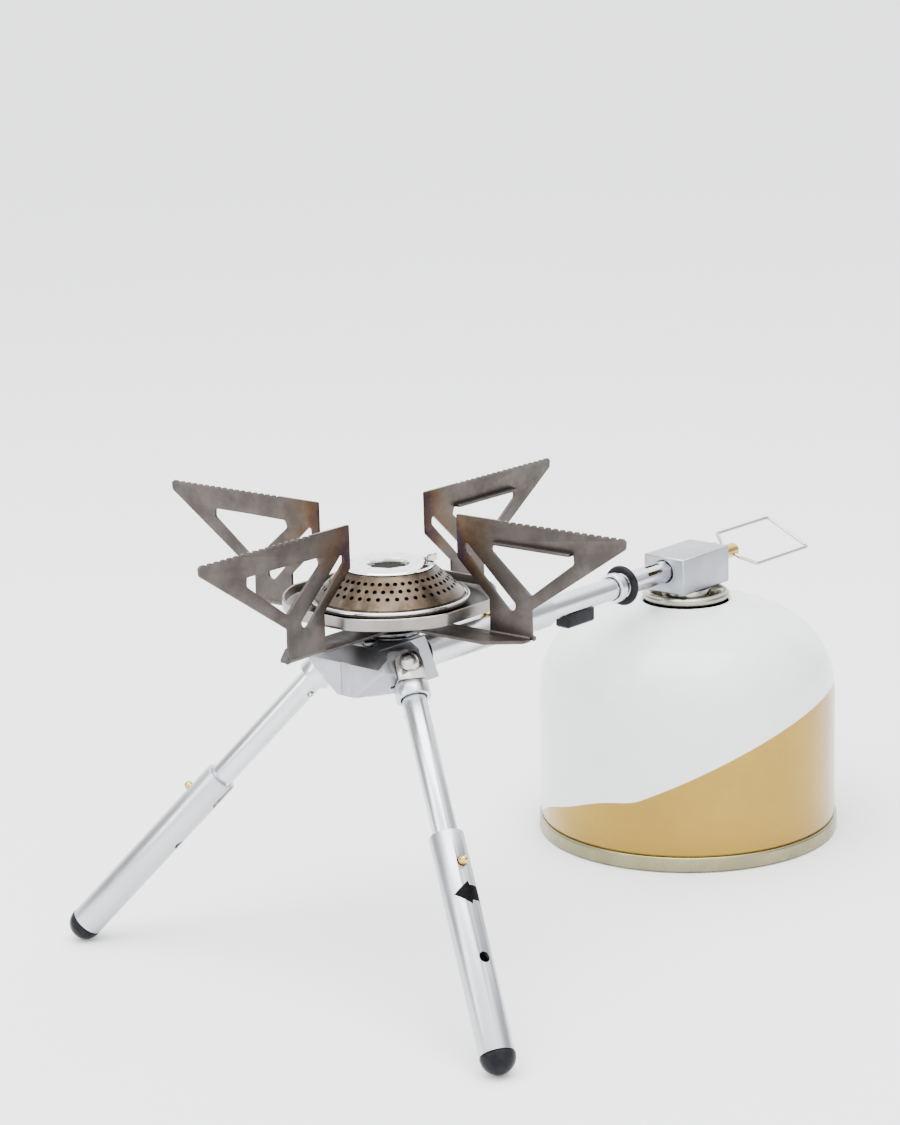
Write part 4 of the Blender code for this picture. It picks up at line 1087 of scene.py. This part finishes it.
def leg(side):
    fold = JOINTS[side + "_leg_fold"]
    along = Vector(JOINTS[side + "_leg_extend"]["axis"]).normalized()
    press = Vector(JOINTS[side + "_button_press"]["axis"]).normalized()
    pivot = Vector(fold["pos_m"])
    outward = Vector(fold["axis"]).normalized()
    if outward.z < 0:
        outward = -outward
    prefix = side + "_leg_"
    line = (pivot, along)
    refined(prefix + "clevis", BRIGHT_STEEL, 0.22)
    refined(prefix + "collar", TURNED_ALUMINIUM, 0.25, axis=line)
    refined(prefix + "upper_tube", TURNED_ALUMINIUM, 0.08, axis=line)
    refined(prefix + "lower_tube", FOOT_TUBE_ALUMINIUM, 0.12, axis=line)
    refined(prefix + "tube_pin", BRIGHT_STEEL, 0.05)
    inside, outside = 4.3, 6.6
    head = [(0, outside)] + arc((0, 3.0), 3.55, 84, 28, 8) + [(3.35, inside + 0.32)]
    head += [(1.5, inside + 0.32), (1.5, -inside - 0.32), (2.7, -inside - 0.32)]
    head += [(2.6, -inside - 0.9), (2.2, -inside - 1.25), (0, -inside - 1.3)]
    rivet = lathe(prefix + "pivot_rivet_finished", head, upright(pivot, outward), 48, 30)
    dress(rivet, BRIGHT_STEEL, side + "_leg", prefix + "pivot_rivet")
    button_at = pivot - along * BUTTON_DOWN * MM
    knob = [(0, 7.7)] + arc((0, 6.25), 1.45, 75, 0, 6) + [(1.48, 5.9), (1.48, 1.8)]
    knob += [(1.88, 1.8), (1.88, 1.25), (0, 1.25)]
    button = lathe(prefix + "lock_button_finished", knob, upright(button_at, -press), 32)
    dress(button, BRASS, side + "_button", prefix + "lock_button")
    spring = new_object(prefix + "button_spring_finished", bpy.data.meshes.new("spring"))
    grow(spring, COIL, Turns=4.0, Radius=1.2 * MM, Height=3.0 * MM, Wire=0.22 * MM, Material=DARK_STEEL)
    spring.data.transform(upright(button_at + press * 2.2 * MM, -press))
    smooth(spring.data, 60)
    dress(spring, DARK_STEEL, side + "_leg", prefix + "button_spring")
    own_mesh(spring)
    foot(side, pivot, along)


def foot(side, pivot, along):
    """A rubber dome on the end of the tube, plugged into it."""
    node = side + "_leg_foot"
    radius = 5.6
    below = (pivot.z - 5.65 * MM) / along.z
    dome = [(0, 11.8), (3.6, 11.8), (4.0, 11.2), (4.0, 0.35), (5.3, 0.35), (radius, 0.1)]
    dome += arc((0, 0), radius, 0, -84, 14) + [(0, -radius)]
    made = lathe(node + "_finished", dome, upright(pivot - along * below, along), 64, 40)
    dress(made, BLACK_RUBBER, BODY_OF[node], node)


def arrow():
    """A plain arrow printed round the right leg's lower tube, which shows the way to turn it."""
    pivot = Vector(JOINTS["right_leg_fold"]["pos_m"])
    along = Vector(JOINTS["right_leg_extend"]["axis"]).normalized()
    press = Vector(JOINTS["right_button_press"]["axis"]).normalized()
    facing = -press
    sideways = along.cross(facing)
    reach = 5.53 * MM
    tip, base, end = -5.0, 0.3, 5.4
    head, tail, down = 3.9, 2.5, 80.5
    columns = 28
    solid = bmesh.new()
    edges = []
    for i in range(columns + 1):
        across = tip + (end - tip) * i / columns
        half = head * (across - tip) / (base - tip) if across < base else tail
        angle = across * MM / reach
        out = facing * cos(angle) + sideways * sin(angle)
        pair = [
            solid.verts.new(pivot + out * reach - along * (down + side * max(half, 0.05)) * MM)
            for side in (-1, 1)
        ]
        edges.append(pair)
    for left, right in zip(edges, edges[1:]):
        solid.faces.new((left[0], left[1], right[1], right[0]))
    bmesh.ops.solidify(solid, geom=solid.faces[:], thickness=0.02 * MM)
    mesh = finished_mesh("leg_arrow", solid)
    dress(new_object("leg_arrow", mesh), PRINT, "right_foot_tube")


# -------------------------------------------------------------------------------- camera and lights


def camera():
    """The view of the stove from its front right, a little above it."""
    place = Vector((-0.7254, -0.6111, 0.3528))
    heading = Vector((0.74766, 0.66408, 0)).normalized()
    pitch, roll = radians(13.847), radians(1.618)
    level = Vector((heading.y, -heading.x, 0))
    ahead = heading * cos(pitch) - Vector((0, 0, sin(pitch)))
    above = level.cross(ahead)
    right = level * cos(roll) - above * sin(roll)
    up = level * sin(roll) + above * cos(roll)
    data = bpy.data.cameras.new("camera")
    data.sensor_fit = "VERTICAL"
    data.sensor_height = 36
    data.sensor_width = 36
    data.lens = 92.09
    data.clip_start = 0.01
    data.clip_end = 100
    made = new_object("camera", data)
    made.matrix_world = Matrix.Translation(place) @ Matrix((right, up, -ahead)).transposed().to_4x4()
    bpy.context.scene.camera = made


def area_light(name, place, target, size, power):
    """A white panel of light at a place, turned to face the target."""
    data = bpy.data.lights.new(name, "AREA")
    data.shape = "RECTANGLE"
    data.size, data.size_y = size
    data.energy = power
    made = new_object(name, data)
    made.location = place
    aim = (Vector(target) - Vector(place)).to_track_quat("-Z", "Y")
    made.rotation_euler = aim.to_euler()


def studio():
    solid = bmesh.new()
    bmesh.ops.create_circle(solid, cap_ends=True, segments=64, radius=16)
    mesh = bpy.data.meshes.new("floor")
    solid.to_mesh(mesh)
    solid.free()
    mesh.transform(Matrix.Translation((0, 0, -0.0002)))
    floor = new_object("floor", mesh)
    mesh.materials.append(pale_floor())
    world = bpy.data.worlds.new("studio")
    bpy.context.scene.world = world
    world.use_nodes = True
    tree = Tree(world.node_tree)
    direction = tree.add("ShaderNodeTexCoord").outputs["Generated"]
    height = tree.add("ShaderNodeSeparateXYZ", {0: direction}).outputs["Z"]
    bright = tree.ramp(height, -0.1, 0.8, 3.5, 3.4)
    aside = tree.math("ABSOLUTE", tree.vector("DOT_PRODUCT", direction, (0.664, -0.748, 0)))
    shade = tree.ramp(aside, 0.5, 0.93, 1.0, 0.22)
    sky = world.node_tree.nodes["Background"]
    tree.feed(sky.inputs["Color"], (0.97, 0.985, 1.0, 1))
    tree.feed(sky.inputs["Strength"], tree.math("MULTIPLY", bright, shade))
    target = (0, 0, 0.08)
    area_light("overhead", (-0.2, -0.1, 1.3), target, (1.3, 1.0), 26)
    area_light("left_bank", (-1.3, 0.5, 0.75), target, (0.5, 1.1), 10)


support("support_lower", LOWER_ANGLE)
support("support_upper", UPPER_ANGLE)
dish()
burner()
spark_hood()
column()
arm()
wire_handle()
canister()
leg("right")
leg("left")
arrow()
for node_name, node_object in NODES.items():
    if not node_object.hide_render:
        node_object.data.materials.clear()
        node_object.data.materials.append(FINISH_OF[SLOT_OF[node_name]])
camera()
studio()
